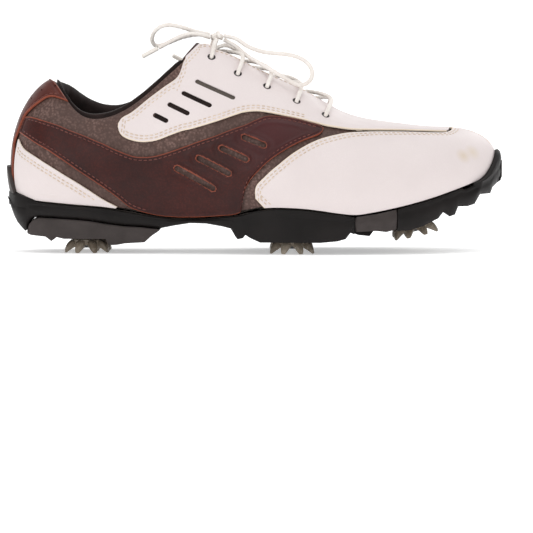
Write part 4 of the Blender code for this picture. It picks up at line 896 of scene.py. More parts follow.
def build_heel_panel(side):
    """The heel panel, whose lower edge lies flat under the outsole's rim."""
    panel = Panel(side, HEEL_PANEL_PAIRS, 0.8, 50)

    def shape(made, points, edge):
        return sewn(np.where(points[..., 2] > 36, edge, 99.0), *HEEL_PANEL_SEAMS)

    mesh = panel_mesh("heel_panel", [panel], OVERLAY, (), shape)
    name = SIDE_NAMES[side]
    piece = add_piece("upper_heel_panel_" + name, mesh, [WHITE, CUT_EDGE])
    dressed(piece, ["heel_panel_" + name])
    rows = [panel.line("high", inset, 0.03, 0.97) for inset in HEEL_PANEL_SEAMS]
    add_sewing("stitching_heel_panel_" + name, rows, THREAD)


def build_backstay():
    panels = both(lambda side: Panel(side, BACKSTAY_PAIRS, 0.6, 70))
    mesh = panel_mesh("backstay", list(panels.values()), OVERLAY, ("low",),
                      lambda panel, points, edge: sewn(edge, 2.0) + ridge(edge, 0.8, 0.6, 0.3), 0.55,
                      lambda panel, points, edge: edge < 0.9)
    bm = bmesh.new()
    for side in (LATERAL, MEDIAL):
        for x, z in BACKSTAY_HOLES:
            place = locate(side, x, z=z)
            bore_into(bm, last(*place, 1.6), last_normals(*place), 0.7, 2.0, 16)
    mesh = cut(mesh, mesh_from_bmesh("backstay_cutter", bm))
    piece = add_piece("upper_backstay", mesh, [TAN_OXBLOOD, OXBLOOD_EDGE])
    dressed(piece, ["backstay"])
    rows = [panel.line("high", 1.8, 0.30, 0.97) for panel in panels.values()]
    add_sewing("stitching_backstay", rows, DARK_THREAD)


def build_quarter(side):
    """The pebbled base leather, padded round the collar."""
    panel = Panel(side, QUARTER_PAIRS, 1.1, 64)

    def shape(made, points, edge):
        ups, arounds = made.places[..., 1], np.abs(made.places[..., 0])
        padded = np.clip((ups - 0.55) / 0.25, 0.0, 1.0) * np.clip((arounds - 2.6) / 0.8, 0.0, 1.0)
        padded = padded * np.clip((5.4 - arounds) / 0.8, 0.0, 1.0)
        return padded * (1.0 - 2.2 * np.clip((ups - 0.93) / 0.05, 0.0, 1.0)**2)

    mesh = panel_mesh("quarter", [panel], BASE, ("low",), shape)
    bm = bmesh.new()
    facing_holes(side, bm, EYELET_OUTER + 0.1)
    mesh = cut(mesh, mesh_from_bmesh("quarter_cutter", bm))
    name = SIDE_NAMES[side]
    piece = add_piece("upper_quarter_" + name, mesh, [TAUPE, TAUPE])
    dressed(piece, ["quarter_" + name])


def slot_back(side, start, end):
    """A strip of the layer that shows at the bottom of one facing slot, as (points, faces)."""
    first, second = locate(side, *start), locate(side, *end)
    shares = np.linspace(-0.06, 1.06, 15)[:, None]
    places = first * (1 - shares) + second * shares
    out = last_normals(places[:, 0], places[:, 1])
    middle = bare_last(places[:, 0], places[:, 1])
    across = np.cross(out, np.gradient(middle, axis=0))
    across *= (FACING_SLOT_WIDTH / 2 + 0.9) / np.linalg.norm(across, axis=1, keepdims=True)
    low, high = middle + 0.1 * out, middle + 0.55 * out
    sections = np.stack([low - across, low + across, high + across, high - across], axis=1)
    return tube_of_sections(list(sections))


def build_slot_backs():
    """Dark lining at the bottom of the facings' slots, and a grey layer under the longest."""
    groups = (("dark", LINING, "dark_lining", FACING_SLOTS[1:]),
              ("pale", GREY_LAYER, "taupe_leather", FACING_SLOTS[:1]))
    for side in (LATERAL, MEDIAL):
        for shade, finish, slot_name, slots in groups:
            verts, faces = joined([slot_back(side, start, end) for start, end in slots])
            name = "slot_backs_{}_{}".format(shade, SIDE_NAMES[side])
            add_piece(name, mesh_of(name, verts, faces), [finish], sharp=30)


# ---------------------------------------------------------------- collar and tongue

def smooth_loop(points, count):
    """count points round a smooth closed curve through points."""
    points = np.asarray(points, float)
    wrapped = np.vstack([points[-2:], points, points[:3]])
    dense = smooth_path(wrapped, (len(wrapped) - 1) * 16 + 1)[32:32 + len(points) * 16 + 1]
    travelled = runs(dense)
    return sampled(np.linspace(0.0, travelled[-1], count, endpoint=False), travelled, dense)


def build_collar():
    """The rolled lining round the ankle opening, soft between its seams."""
    profile = [(0.73, -2.4, 0.0), (0.86, -2.8, 0.0), (0.985, -2.5, 0.0), (1.0, -2.2, 2.0),
               (1.0, -5.0, 3.6), (0.985, -8.2, 1.6), (0.90, PAD_INNER, 0.0), (0.80, -7.5, 0.0),
               (0.73, -4.4, 0.0)]
    profile = smooth_loop(profile, 40)
    profile[:, 0] = np.minimum(profile[:, 0], 1.0)
    sections = []
    for around in np.linspace(-COLLAR_SPAN, COLLAR_SPAN, 181):
        closing = np.clip((COLLAR_SPAN - abs(around)) / 0.25, 0.0, 1.0)**0.5
        middle = profile.mean(axis=0)
        shrunk = middle + (profile - middle) * (0.45 + 0.55 * closing)
        share = 0.35 + 0.65 * min((COLLAR_SPAN - abs(around)) / COLLAR_TAPER, 1.0)
        shrunk[:, 1] = profile[0, 1] + (shrunk[:, 1] - profile[0, 1]) * share
        shrunk[:, 2] *= share
        wave = 1.0 + 0.05 * math.sin(9.0 * around) * math.sin(3.7 * around + 1.0)
        points = last(np.full(len(shrunk), around), shrunk[:, 0], shrunk[:, 1] * wave)
        points[:, 2] += shrunk[:, 2]
        sections.append(points)
    verts, faces = tube_of_sections(sections)
    piece = add_piece("collar_roll", mesh_of("collar_roll", verts, faces), [LINING], sharp=80)
    dressed(piece, ["collar_pad"])


TONGUE_LINE = [(58, 78.6, 13.0), (46, 84.2, 16.0), (30, 93.4, 19.0), (12, 102.6, 21.0),
               (-6, 111.2, 22.5), (-18, 117.6, 24.0), (-27, 123.4, 24.6), (-35.6, 130.6, 23.0)]
TONGUE_DROP = 0.030             # how far the tongue falls to its sides, by half width squared


def tongue_sections(top_lift, thickness):
    """Sections across the tongue, from the vamp to its free top edge."""
    line = smooth_path(TONGUE_LINE, 90)
    across = np.sin(np.linspace(-1.0, 1.0, 41) * math.pi / 2)
    sections = []
    for k, (x, z, half_width) in enumerate(line):
        ahead, behind = line[max(k - 1, 0)], line[min(k + 1, len(line) - 1)]
        slope = math.atan2(behind[1] - ahead[1], ahead[0] - behind[0])
        up = np.array([math.sin(slope), 0.0, math.cos(slope)])
        left = (len(line) - 1 - k) / 9.0
        closing = 1.0 if left > 1 else 0.80 + 0.20 * math.sqrt(max(1 - (1 - left)**2, 0.0))
        soft = 1.0 if left > 0.35 else 0.35 + 0.65 * math.sqrt(max(1 - (1 - left / 0.35)**2, 0.0))
        outer, inner = [], []
        for f in across:
            y = f * half_width * closing
            lean = np.array([0, math.copysign(min(abs(2 * TONGUE_DROP * y), 0.9), y), 1.0])
            lean /= np.linalg.norm(lean)
            normal = up * lean[2] + np.array([0, lean[1], 0])
            spot = np.array([x, y, z]) - up * TONGUE_DROP * y * y
            edge = math.sqrt(max(1.0 - abs(f)**8, 0.02)) * soft
            middle = top_lift - thickness / 2
            outer.append(spot + normal * (middle + thickness / 2 * edge))
            inner.append(spot + normal * (middle - thickness / 2 * edge))
        sections.append(outer + inner[::-1])
    return sections


def build_tongue():
    layers = (("tongue_face", -0.6, 3.4, OXBLOOD, "tongue", "oxblood_leather"),
              ("tongue_back", -4.4, 1.0, LINING, "tongue_lining", "dark_lining"))
    for name, top_lift, thickness, finish, node, slot in layers:
        verts, faces = tube_of_sections(tongue_sections(top_lift, thickness))
        dressed(add_piece(name, mesh_of(name, verts, faces), [finish], sharp=80), [node])


EYELET_SEGMENTS = 40


def build_eyelets():
    """Rolled metal rings in the facings."""
    inner, outer = EYELET_BORE, EYELET_OUTER
    profile = [(inner, -1.6), (outer, -1.6), (outer, 1.75), (outer - 0.05, 1.95), (outer - 0.2, 2.05),
               (inner + 0.2, 2.05), (inner + 0.05, 1.95), (inner, 1.75)]
    for side in (LATERAL, MEDIAL):
        for number, eyelet in enumerate(EYELETS, start=1):
            place = locate(side, *eyelet)
            turn = Vector(last_normals(*place)).to_track_quat("Z", "Y")
            centre = Vector(last(*place))
            rings = []
            for angle in np.linspace(0.0, math.tau, EYELET_SEGMENTS, endpoint=False):
                rings.append([centre + turn @ Vector((r * math.cos(angle), r * math.sin(angle), z))
                              for r, z in profile])
            size = len(profile)
            verts = [point for ring in rings for point in ring]
            faces = []
            for ring in range(EYELET_SEGMENTS):
                here, ahead = ring * size, (ring + 1) % EYELET_SEGMENTS * size
                for k in range(size):
                    after = (k + 1) % size
                    faces.append((here + k, ahead + k, ahead + after, here + after))
            name = "eyelet_{}_{}".format(SIDE_NAMES[side], number)
            piece = add_piece("ring_" + name, mesh_of(name, verts, faces), [DARK_METAL], sharp=60)
            dressed(piece, [name])


# ---------------------------------------------------------------- lace

LACE_RADIUS = 1.3
OVER_EDGE_LIFT = 4.6            # the lace's middle over the facing's edge, from the last
OVER_LAST_EDGE = 1.3            # the last pair rides this much higher
UNDER_EDGE_LIFT = -3.4
EDGE_Y = 11.0                   # where the lace crosses the facing's edge, from the centre line
LAST_EDGE_Y = 9.6
EDGE_AHEAD = 1.0                # and how far ahead of its eyelet
EDGE_TUCK = 3.0
OVER_CROSSING = 3.0
UNDER_CROSSING = -0.8
LAST_CROSSING = -3.0
LACE_ENTRY = (-24.2, 5.5, 131.0)
LOOP_HEEL = [(-28.6, -1.0, 134.4), (-34, -2.6, 135.6), (-39.5, -4, 137), (-44.5, -5, 138.6),
             (-49.5, -5.6, 139.8), (-54.6, -5.6, 140.2), (-59.4, -4.6, 138.8), (-63, -2.4, 135.4),
             (-64.2, 0.8, 131), (-62.2, 3.6, 127.8), (-57.6, 4.8, 128), (-51.6, 5, 130.4),
             (-44.6, 4.6, 133), (-36.6, 3.6, 134.4), (-28.8, 2.2, 134.0)]
LOOP_TOE = [(-19.4, -2.0, 133.6), (-12, -6, 131.8), (-4.6, -10, 127), (4.2, -13.5, 123.8),
            (12, -15.6, 122.8), (19.5, -17.2, 122), (26.5, -18.6, 120.2), (32.4, -20, 116.4),
            (35, -21.4, 110.6), (33, -22.6, 105.4), (27, -22.8, 103.2), (19, -21.6, 107),
            (10.6, -18.8, 112), (2.4, -15, 116.8), (-5.4, -10.6, 121.4), (-12.4, -5.6, 127.2),
            (-19.2, -1.0, 131.0)]
END_LATERAL = [(-28.2, -3.6, 132.6), (-33.5, -6.6, 134.2), (-39, -9, 134.9), (-44, -10.8, 134),
               (-49.4, -12, 131.7), (-55, -13, 128.7), (-59.6, -13.6, 126.2)]
AGLET_LATERAL = [(-60.1, -13.7, 125.9), (-70, -14.8, 120.6)]
END_MEDIAL = [(-22.6, 4.6, 134.4), (-24, 10, 134), (-26.4, 16, 130.6), (-28, 21.6, 125),
              (-28.6, 27.6, 119.6), (-31.4, 32.6, 115.6), (-36, 34.8, 114.6), (-41.4, 34.4, 116)]
AGLET_MEDIAL = [(-41.9, 34.3, 116.2), (-52.2, 31.4, 121.6)]
KNOT_CENTRE = (-24.0, 0.0, 133.2)
BRAID_SIDES = 20
BRAID_STEP = 0.42
BRAID_PITCH = 3.4               # the braid's advance along the lace in one diamond
BRAID_RELIEF = 0.11
BRAID_STRANDS = 6


def eyelet_stops(side, number, inward):
    """Route points through one eyelet: over the facing's edge, above, in and below the ring."""
    place = locate(side, *EYELETS[number])
    centre, normal = last(*place), last_normals(*place)
    lean = np.array([0.0, -side, 0.0], dtype=float)
    lean -= normal * lean.dot(normal)
    lean /= np.linalg.norm(lean)
    last_pair = number == len(EYELETS) - 1
    edge_x, edge_y = EYELETS[number][0] + EDGE_AHEAD, LAST_EDGE_Y if last_pair else EDGE_Y
    over_lift = OVER_EDGE_LIFT + (OVER_LAST_EDGE if last_pair else 0.0)
    over = last(*locate(side, edge_x, y=side * edge_y), over_lift)
    above = centre + normal * 3.8 + lean * 0.5
    through = centre + normal * 0.2
    below = centre - normal * 3.1 + lean * 0.4
    under = last(*locate(side, edge_x, y=side * (edge_y - EDGE_TUCK)), UNDER_EDGE_LIFT)
    stops = [over, above, through, below, under]
    return stops if inward else stops[::-1]


def crossing(x, lift):
    """A route point on the centre line, at this height from the crown."""
    return (x, 0.0, float(last(*locate(LATERAL, x, y=-0.1))[2]) + lift)


def lacing_route():
    """The lace's whole run: down one zigzag, across under the last pair and up the other."""
    x, y, z = LACE_ENTRY
    route = [(x, -y, z)]
    side = LATERAL
    middles = [(here[0] + after[0]) / 2 + 1.0 for here, after in zip(EYELETS, EYELETS[1:])]
    final = len(EYELETS) - 1
    for number in range(final + 1):
        route += eyelet_stops(side, number, True)
        if number < final:
            route.append(crossing(middles[number], OVER_CROSSING))
            side = -side
    route.append(crossing(EYELETS[final][0] + 1.5, LAST_CROSSING))
    side = -side
    for number in range(final, -1, -1):
        route += eyelet_stops(side, number, False)
        if number > 0:
            route.append(crossing(middles[number - 1], UNDER_CROSSING))
            side = -side
    route.append(LACE_ENTRY)
    return route


def braid(path, radius=LACE_RADIUS):
    """A round braided lace along a path: points, faces, and the line it follows."""
    line = even_path(np.asarray(path, float), BRAID_STEP)
    tangents = np.gradient(line, axis=0)
    tangents /= np.linalg.norm(tangents, axis=1, keepdims=True)
    side = np.cross(tangents[0], (0.3, 0.9, 0.2))
    sections = []
    angles = np.linspace(0.0, math.tau, BRAID_SIDES, endpoint=False)
    for k, (point, tangent) in enumerate(zip(line, tangents)):
        side = side - tangent * side.dot(tangent)
        side = side / np.linalg.norm(side)
        other = np.cross(tangent, side)
        turn = math.tau * k * BRAID_STEP / BRAID_PITCH
        left = np.cos(BRAID_STRANDS / 2 * angles + turn)
        right = np.cos(BRAID_STRANDS / 2 * angles - turn)
        size = radius - BRAID_RELIEF + BRAID_RELIEF * np.maximum(left, right)
        sections.append(point + size[:, None] * (np.cos(angles)[:, None] * side
                                                 + np.sin(angles)[:, None] * other))
    verts, faces = tube_of_sections(sections)
    return verts, faces, line


def add_lace(name, path, nodes):
    verts, faces, line = braid(path)
    piece = add_piece(name, mesh_of(name, verts, faces), [LACE], sharp=80)
    dressed(piece, nodes)
    return piece, line


def add_aglet(name, ends, node):
    """A clear-lacquered tip: a round barrel, slightly pinched at its mouth."""
    start, end = (np.array(point, float) for point in ends)
    axis = (end - start) / np.linalg.norm(end - start)
    side = np.cross(axis, (0.0, 0.0, 1.0))
    side /= np.linalg.norm(side)
    other = np.cross(axis, side)
    length = np.linalg.norm(end - start)
    shape = ((0.0, 0.9), (0.15, 1.25), (0.6, 1.40), (1.2, 1.38), (length - 1.4, 1.36),
             (length - 0.6, 1.28), (length - 0.2, 1.05), (length, 0.6))
    angles = np.linspace(0.0, math.tau, 24, endpoint=False)
    sections = [[start + axis * along + size * (math.cos(a) * side + math.sin(a) * other) for a in angles]
                for along, size in shape]
    verts, faces = tube_of_sections(sections)
    piece = add_piece(name, mesh_of(name, verts, faces), [AGLET], sharp=50)
    dressed(piece, [node])
    return piece


def build_lace():
    add_lace("lace_run", smooth_path(lacing_route(), 420), ["lace_lacing"])
    loops = (("lace_bow_heel", LOOP_HEEL, "lace_loop_heel"), ("lace_bow_toe", LOOP_TOE, "lace_loop_toe"))
    for name, route, node in loops:
        piece, line = add_lace(name, smooth_path(route, 160), [node])
    ends = (("lateral", END_LATERAL, AGLET_LATERAL), ("medial", END_MEDIAL, AGLET_MEDIAL))
    for name, route, tip in ends:
        aglet = add_aglet("lace_tip_" + name, tip, "aglet_" + name)
        piece, line = add_lace("lace_tail_" + name, smooth_path(route, 90), ["lace_end_" + name])
    build_knot()


def build_knot():
    """The bow's knot: one turn of lace wound round the crossing strands, drawn tight."""
    centre = np.array(KNOT_CENTRE)
    wound, straight = [], []
    for angle in np.linspace(-0.9 * math.pi, 1.1 * math.pi, 40):
        across = np.array([1.5 * angle / math.pi, 2.9 * math.cos(angle), 2.3 * math.sin(angle)])
        wound.append(centre + across)
    for share in np.linspace(-1.0, 1.0, 24):
        straight.append(centre + np.array([3.4 * share, 1.1 * share, 0.5 * math.cos(share * 3.0)]))
    verts, faces = joined([braid(wound, 1.25)[:2], braid(straight, 1.9)[:2]])
    piece = add_piece("lace_bow_knot", mesh_of("lace_bow_knot", verts, faces), [LACE], sharp=80)
    dressed(piece, ["lace_knot"])


# ---------------------------------------------------------------- sole

OUTSOLE_BOTTOM = [(-154.2, 34), (-153.3, 33), (-151.5, 27), (-149.5, 22.5), (-147, 18.5),
                  (-144, 15.4), (-142, 13.5), (-141, 13.9), (-140.2, 16.2), (-139, 19.4),
                  (-137, 21.6), (-133, 22.6), (-120, 21.9), (-110, 21.3),
                  (-100, 20.3), (-90, 18.6), (-80, 17.4), (-70, 16.9), (-58, 15.7), (-50, 17.3),
                  (-40, 18.9), (-30, 18.7), (-20, 17), (-15, 15.8), (-12.5, 11.5), (-11, 9.3),
                  (-7.5, 10), (-6, 12), (-3, 10), (3, 7.4), (40, 7.4), (50, 8.3), (55, 9.7),
                  (58, 13.5), (63, 11.5), (70, 10.8), (73.5, 15.4), (80, 13.9), (85, 14.3),
                  (95, 15), (103, 17.5), (112, 21.8), (115, 25.5), (119, 22.8), (122.5, 24),
                  (124.5, 28.9), (130.5, 28.9), (135, 30.2), (138.5, 36), (145.5, 36.3),
                  (147, 40), (152.5, 44), (153.6, 47)]
HEEL_PLATE_TOP = [(-140.6, 13.4), (-139.3, 17.6), (-137, 20.6), (-133, 21.9), (-120, 21.3), (-110, 20.7),
                  (-100, 19.7), (-90, 18), (-80, 16.8), (-70, 16.3), (-58.6, 15)]
HEEL_PLATE_BOTTOM = [(-140.6, 12), (-138.5, 11), (-129, 10.2), (-125.3, 7.5), (-122, 10),
                     (-117.5, 9), (-92, 9), (-90, 5.2), (-85, 5.4), (-80, 6.3), (-68, 7),
                     (-63.5, 11), (-58.6, 14.4)]
RECESS_FLOOR = [(-140, 29.4), (-130, 26), (-100, 24), (-80, 22), (-60, 20.6), (-45, 20.4),
                (-25, 20.4), (-10, 20.8), (10, 22.5), (30, 22), (60, 20.5), (85, 24), (110, 30.5),
                (128, 38.5)]
FLEX_BLOCK_BOTTOM = [(60, 14), (73.5, 14.6), (80, 13.9), (86, 15.5)]
SOLE_MARGIN = 3.0
RECESS_MARGIN = -3.2
NARROWEST_HALF = 1.5
RIM_DROP = 0.9
RIM_HEEL_END = -146.0
RIM_TOE_START = 128.0
RIM_TOE_DROP = 1.4
FLEX_BLOCK_RANGE = (60.4, 86.8)
FLEX_BLOCK_DEPTH = 17.0
NOTCH_SIDE = 80.0               # how far out the notches' cutters reach
NOTCH_HEIGHTS = (-5.0, 60.0)
LIP_SPAN = 1.7                  # half the heel lip's length, in cage steps round the heel
LIP_REAR = -154.2
LIP_INNER = 0.5
LIP_SKIRT = -5.0
BUMPER_ROUNDING = 1.1
BUMPER_SKIRT = -4.5
GAP = 0.4
CLEATS = [("heel_lateral", -104.0, -16.2, 0.0, 0.0), ("heel_medial", -104.0, 16.2, 0.0, 0.0),
          ("ball_lateral", 22.5, -30.5, 0.0, 0.0), ("ball_medial", 22.5, 26.0, 0.0, 0.0),
          ("front_lateral", 99.5, -16.5, 10.2, 12.5), ("front_medial", 99.5, 23.5, 10.2, 12.5)]
CLEAT_LEGS = 8
CLEAT_RADIUS = 14.4
CLEAT_DISC_RADIUS = 9.5
CLEAT_HEIGHT = 8.4
CLEAT_DISC_THICKNESS = 3.4
RECEPTACLE_RADIUS = 9.0
RECEPTACLE_HEIGHT = 4.6


def outline(margin):
    """Plan outline of the feather line moved out by margin: (lateral, medial) arrays of (x, y)."""
    outlines = []
    for side in (LATERAL, MEDIAL):
        arounds = np.linspace(0.0, TOE, 361)
        here = bare_last(-side * arounds, 0.0)[:, :2]
        ahead = bare_last(-side * np.minimum(arounds + 0.05, TOE), 0.0)[:, :2]
        behind = bare_last(-side * np.maximum(arounds - 0.05, 0.0), 0.0)[:, :2]
        tangent = ahead - behind
        tangent /= np.linalg.norm(tangent, axis=1, keepdims=True)
        outward = np.stack([-tangent[:, 1], tangent[:, 0]], axis=1) * side
        swell = 2.6 * np.exp(-(arounds / 1.1)**2) + 1.6 * np.exp(-(TOE - arounds)**2)
        outlines.append(here + outward * (margin + swell)[:, None])
    return outlines


OUTLINES = {}                   # outlines worked out so far, by margin


def edges_at(x, margin):
    """The two y values at x of the outline moved out by margin."""
    key = round(margin, 3)
    if key not in OUTLINES:
        OUTLINES[key] = outline(margin)
    lines = OUTLINES[key]
    lateral = np.interp(x, lines[0][:, 0], lines[0][:, 1])
    medial = np.interp(x, lines[1][:, 0], lines[1][:, 1])
    middle = (lateral + medial) / 2
    half = max((medial - lateral) / 2, NARROWEST_HALF)
    return middle - half, middle + half


def fine_stations(low, high, profile, pitch=2.0):
    """x stations at a fine pitch, with the profile's own corners among them."""
    corners = [x for x, _ in profile if low < x < high]
    xs = [low, high] + corners
    for x in np.arange(low + 0.7, high - 0.7, pitch):
        if min(abs(x - other) for other in xs) > 0.5:
            xs.append(float(x))
    for reach in (0.35, 0.9, 1.8, 3.2):
        for x in (low + reach, high - reach):
            if min(abs(x - other) for other in xs) > 0.2:
                xs.append(x)
    return sorted(xs)


def slab(xs, top, bottom, walls):
    """Sections across a slab whose side walls follow (share of height from the top, margin)."""
    sections = []
    for x in xs:
        z_bottom = float(bottom(x))
        z_top = max(float(top(x)), z_bottom + 0.6)
        levels = [z_top + (z_bottom - z_top) * share for share, _ in walls]
        ends = [edges_at(x, margin) for _, margin in walls]
        lateral = [(x, end[0], z) for end, z in zip(ends, levels)]
        medial = [(x, end[1], z) for end, z in zip(ends, levels)]
        sections.append(lateral + medial[::-1])
    return sections


def feather(x):
    return height(FEATHER_HEIGHT, x)


def rim(x):
    """Height of the outsole's top edge, just clear of the upper."""
    drop = RIM_DROP + (RIM_TOE_DROP if x > RIM_TOE_START else 0.0)
    return min(feather(max(x, RIM_HEEL_END)), feather(x)) - drop


def cleat_axis(tilt):
    """Unit vector up along a cleat's axis."""
    return np.array([-math.sin(math.radians(tilt)), 0.0, math.cos(math.radians(tilt))])


def cleat_pockets(radius, start, depth):
    """Cutters along every cleat's axis, from start above the tip plane."""
    bm = bmesh.new()
    for _, x, y, z, tilt in CLEATS:
        axis = cleat_axis(tilt)
        bore_into(bm, np.array([x, y, z]) + axis * (start + depth / 2), axis, radius, depth, 48)
    return mesh_from_bmesh("pockets", bm)


def box_into(bm, low, high):
    low, high = Vector(low) * MM, Vector(high) * MM
    size = high - low
    place = Matrix.Translation((low + high) / 2) @ Matrix.Diagonal((*size, 1.0))
    bmesh.ops.create_cube(bm, size=1.0, matrix=place)


def flex_block_box(side, clearance):
    """Corners of the notch that holds one flex block."""
    x_middle = sum(FLEX_BLOCK_RANGE) / 2
    inner = abs(edges_at(x_middle, SOLE_MARGIN)[0 if side == LATERAL else 1]) - FLEX_BLOCK_DEPTH
    ys = sorted((side * (inner - clearance), side * NOTCH_SIDE))
    return ((FLEX_BLOCK_RANGE[0] - clearance, ys[0], NOTCH_HEIGHTS[0]),
            (FLEX_BLOCK_RANGE[1] + clearance, ys[1], NOTCH_HEIGHTS[1]))


def bumper_sections():
    """Sections of the bumper that the outsole sends up over the toe."""
    sections = []
    drop = np.array([0.0, 0.0, BUMPER_SKIRT])
    reach = math.hypot(TOE - BUMPER_START, BUMPER_ROUNDING) - BUMPER_ROUNDING
    for around in np.linspace(BUMPER_START, RING_COUNT - BUMPER_START, 81):
        gap = math.hypot(around - TOE, BUMPER_ROUNDING) - BUMPER_ROUNDING
        f = max(1.0 - gap / reach, 0.0)
        rise = 0.012 + 0.205 * f**3
        inner, outer = TOE_BUMPER
        outer = inner + (outer - inner) * min(0.45 + 2.5 * f, 1.0)
        sections.append([last(around, rise, inner), last(around, rise, max(outer - 1.6, inner + 0.2)),
                         last(around, rise * 0.93, max(outer - 0.9, inner + 0.3)),
                         last(around, rise * 0.8, outer - 0.3), last(around, rise / 2, outer),
                         last(around, rise / 4, outer - 0.2),
                         last(around, 0.0, outer - 0.8) + drop * 0.4,
                         last(around, 0.0, outer - 1.4) + drop, last(around, 0.0, 0.5) + drop,
                         last(around, 0.0, inner)])
    return sections


def heel_lip_sections():
    """Sections of the rim that the outsole turns up round the back of the heel, under the tab."""
    sections = []
    for around in np.linspace(-LIP_SPAN, LIP_SPAN, 61):
        f = 1.0 - (abs(around) / LIP_SPAN)**2
        top, thick = 0.4 + 3.7 * f, 0.6 + 4.6 * f**0.5
        foot = last(around, 0.0, 0.0)
        away = last_normals(around, 0.12) * (1.0, 1.0, 0.0)
        away = away / np.linalg.norm(away)
        rows = []
        for share, z in ((0.0, top), (0.5, top), (0.85, top - 0.5), (1.0, top - 1.6), (1.0, LIP_SKIRT),
                         (0.0, LIP_SKIRT)):
            point = foot + away * (LIP_INNER + thick * share) + np.array([0.0, 0.0, z])
            rows.append((max(point[0], LIP_REAR), point[1], point[2]))
        sections.append(rows)
    return sections


# Side walls, as (share of height from the top, margin out from the feather line).
OUTSOLE_WALL = [(0.0, SOLE_MARGIN - 0.5), (0.04, SOLE_MARGIN + 0.1), (0.12, SOLE_MARGIN + 0.35),
                (0.20, SOLE_MARGIN + 0.05), (0.24, SOLE_MARGIN + 0.05), (0.34, SOLE_MARGIN + 0.65),
                (0.50, SOLE_MARGIN + 0.9), (0.66, SOLE_MARGIN + 0.6), (0.82, SOLE_MARGIN - 0.3),
                (0.94, SOLE_MARGIN - 1.3), (1.0, SOLE_MARGIN - 2.2)]
PLATE_WALL = [(0.0, 1.9), (0.06, 2.4), (0.3, 2.3), (0.5, 1.8), (0.75, 1.5), (0.92, 1.0), (1.0, 0.4)]
BLOCK_WALL = [(0.0, 2.6), (0.07, 3.0), (0.3, 3.9), (0.5, 4.2), (0.75, 3.2), (0.93, 2.0), (1.0, 1.4)]


def lofted(name, sections):
    verts, faces = tube_of_sections(sections)
    bm = bmesh.new()
    bm.from_mesh(mesh_of(name, verts, faces))
    bmesh.ops.remove_doubles(bm, verts=bm.verts, dist=0.01 * MM)
    bmesh.ops.recalc_face_normals(bm, faces=bm.faces)
    return mesh_from_bmesh(name, bm)


def pocketed(mesh):
    """The mesh with room cut for every cleat and its receptacle."""
    mesh = cut(mesh, cleat_pockets(CLEAT_RADIUS + 0.8, -14.0, 14.0 + CLEAT_HEIGHT + GAP))
    return cut(mesh, cleat_pockets(RECEPTACLE_RADIUS + GAP, 2.0, CLEAT_HEIGHT + RECEPTACLE_HEIGHT - 1.2))


def build_outsole():
    xs = fine_stations(-154.0, 153.4, OUTSOLE_BOTTOM)
    mesh = lofted("outsole", slab(xs, rim, lambda x: height(OUTSOLE_BOTTOM, x), OUTSOLE_WALL))
    recess_xs = fine_stations(-138.0, 128.0, RECESS_FLOOR, 5.0)
    recess = lofted("recess", slab(recess_xs, lambda x: feather(x) + 6.0, lambda x: height(RECESS_FLOOR, x),
                                   [(share, RECESS_MARGIN) for share in (0.0, 0.5, 1.0)]))
    mesh = cut(mesh, recess)
    notches = bmesh.new()
    for side in (LATERAL, MEDIAL):
        box_into(notches, *flex_block_box(side, 0.0))
    mesh = pocketed(cut(mesh, mesh_from_bmesh("notches", notches)))
    mesh = cut(mesh, lofted("bumper", bumper_sections()), "UNION")
    mesh = cut(mesh, lofted("heel_lip", heel_lip_sections()), "UNION")
    piece = add_piece("sole_outsole", mesh, [RUBBER], sharp=32)
    dressed(piece, ["outsole"])


def build_heel_plate():
    xs = fine_stations(-140.5, -58.7, HEEL_PLATE_BOTTOM + HEEL_PLATE_TOP)
    mesh = lofted("plate", slab(xs, lambda x: height(HEEL_PLATE_TOP, x),
                                lambda x: height(HEEL_PLATE_BOTTOM, x), PLATE_WALL))
    piece = add_piece("sole_heel_plate", pocketed(mesh), [GREY_TPU], sharp=32)
    dressed(piece, ["heel_plate"])


def build_flex_block(side):
    low, high = FLEX_BLOCK_RANGE[0] + GAP, FLEX_BLOCK_RANGE[1] - GAP
    box = flex_block_box(side, -GAP)
    inner = box[0][1] if side == MEDIAL else box[1][1]
    sections = []
    for x in np.linspace(low, high, 28):
        closing = min((x - low) / 0.8, (high - x) / 0.8, 1.0)
        inset = 0.6 * (1 - math.sqrt(max(1 - (1 - closing)**2, 0.0)))
        bottom = float(height(FLEX_BLOCK_BOTTOM, x)) + inset
        top = rim(x) - inset
        edge = [(x, edges_at(x, margin - inset)[0 if side == LATERAL else 1], top + (bottom - top) * share)
                for share, margin in BLOCK_WALL]
        sections.append(edge + [(x, inner, bottom), (x, inner, top)])
    name = "flex_block_" + SIDE_NAMES[side]
    piece = add_piece("sole_" + name, lofted(name, sections), [GREY_TPU], sharp=32)
    dressed(piece, [name])


def build_heel_tab():
    panels = both(lambda side: Panel(side, HEEL_TAB_PAIRS, 0.5, 60))
    mesh = panel_mesh("heel_tab", list(panels.values()), HEEL_TAB, ("low",), None, 0.9)
    piece = add_piece("heel_tab_cover", mesh, [GREY_TPU, GREY_TPU])
    dressed(piece, ["heel_tab"])


HUB_SEGMENTS = 48
LEG_SEGMENTS = 12
# Sections along a leg: (distance out, top, bottom, half width).
LEG_SECTIONS = [(8.4, 8.0, 3.4, 2.9), (9.8, 7.9, 2.6, 2.75), (11.2, 7.2, 1.8, 2.55), (12.4, 6.0, 1.0, 2.3),
                (13.3, 4.6, 0.4, 2.0), (13.95, 3.2, 0.05, 1.65), (14.35, 1.9, 0.3, 1.2)]


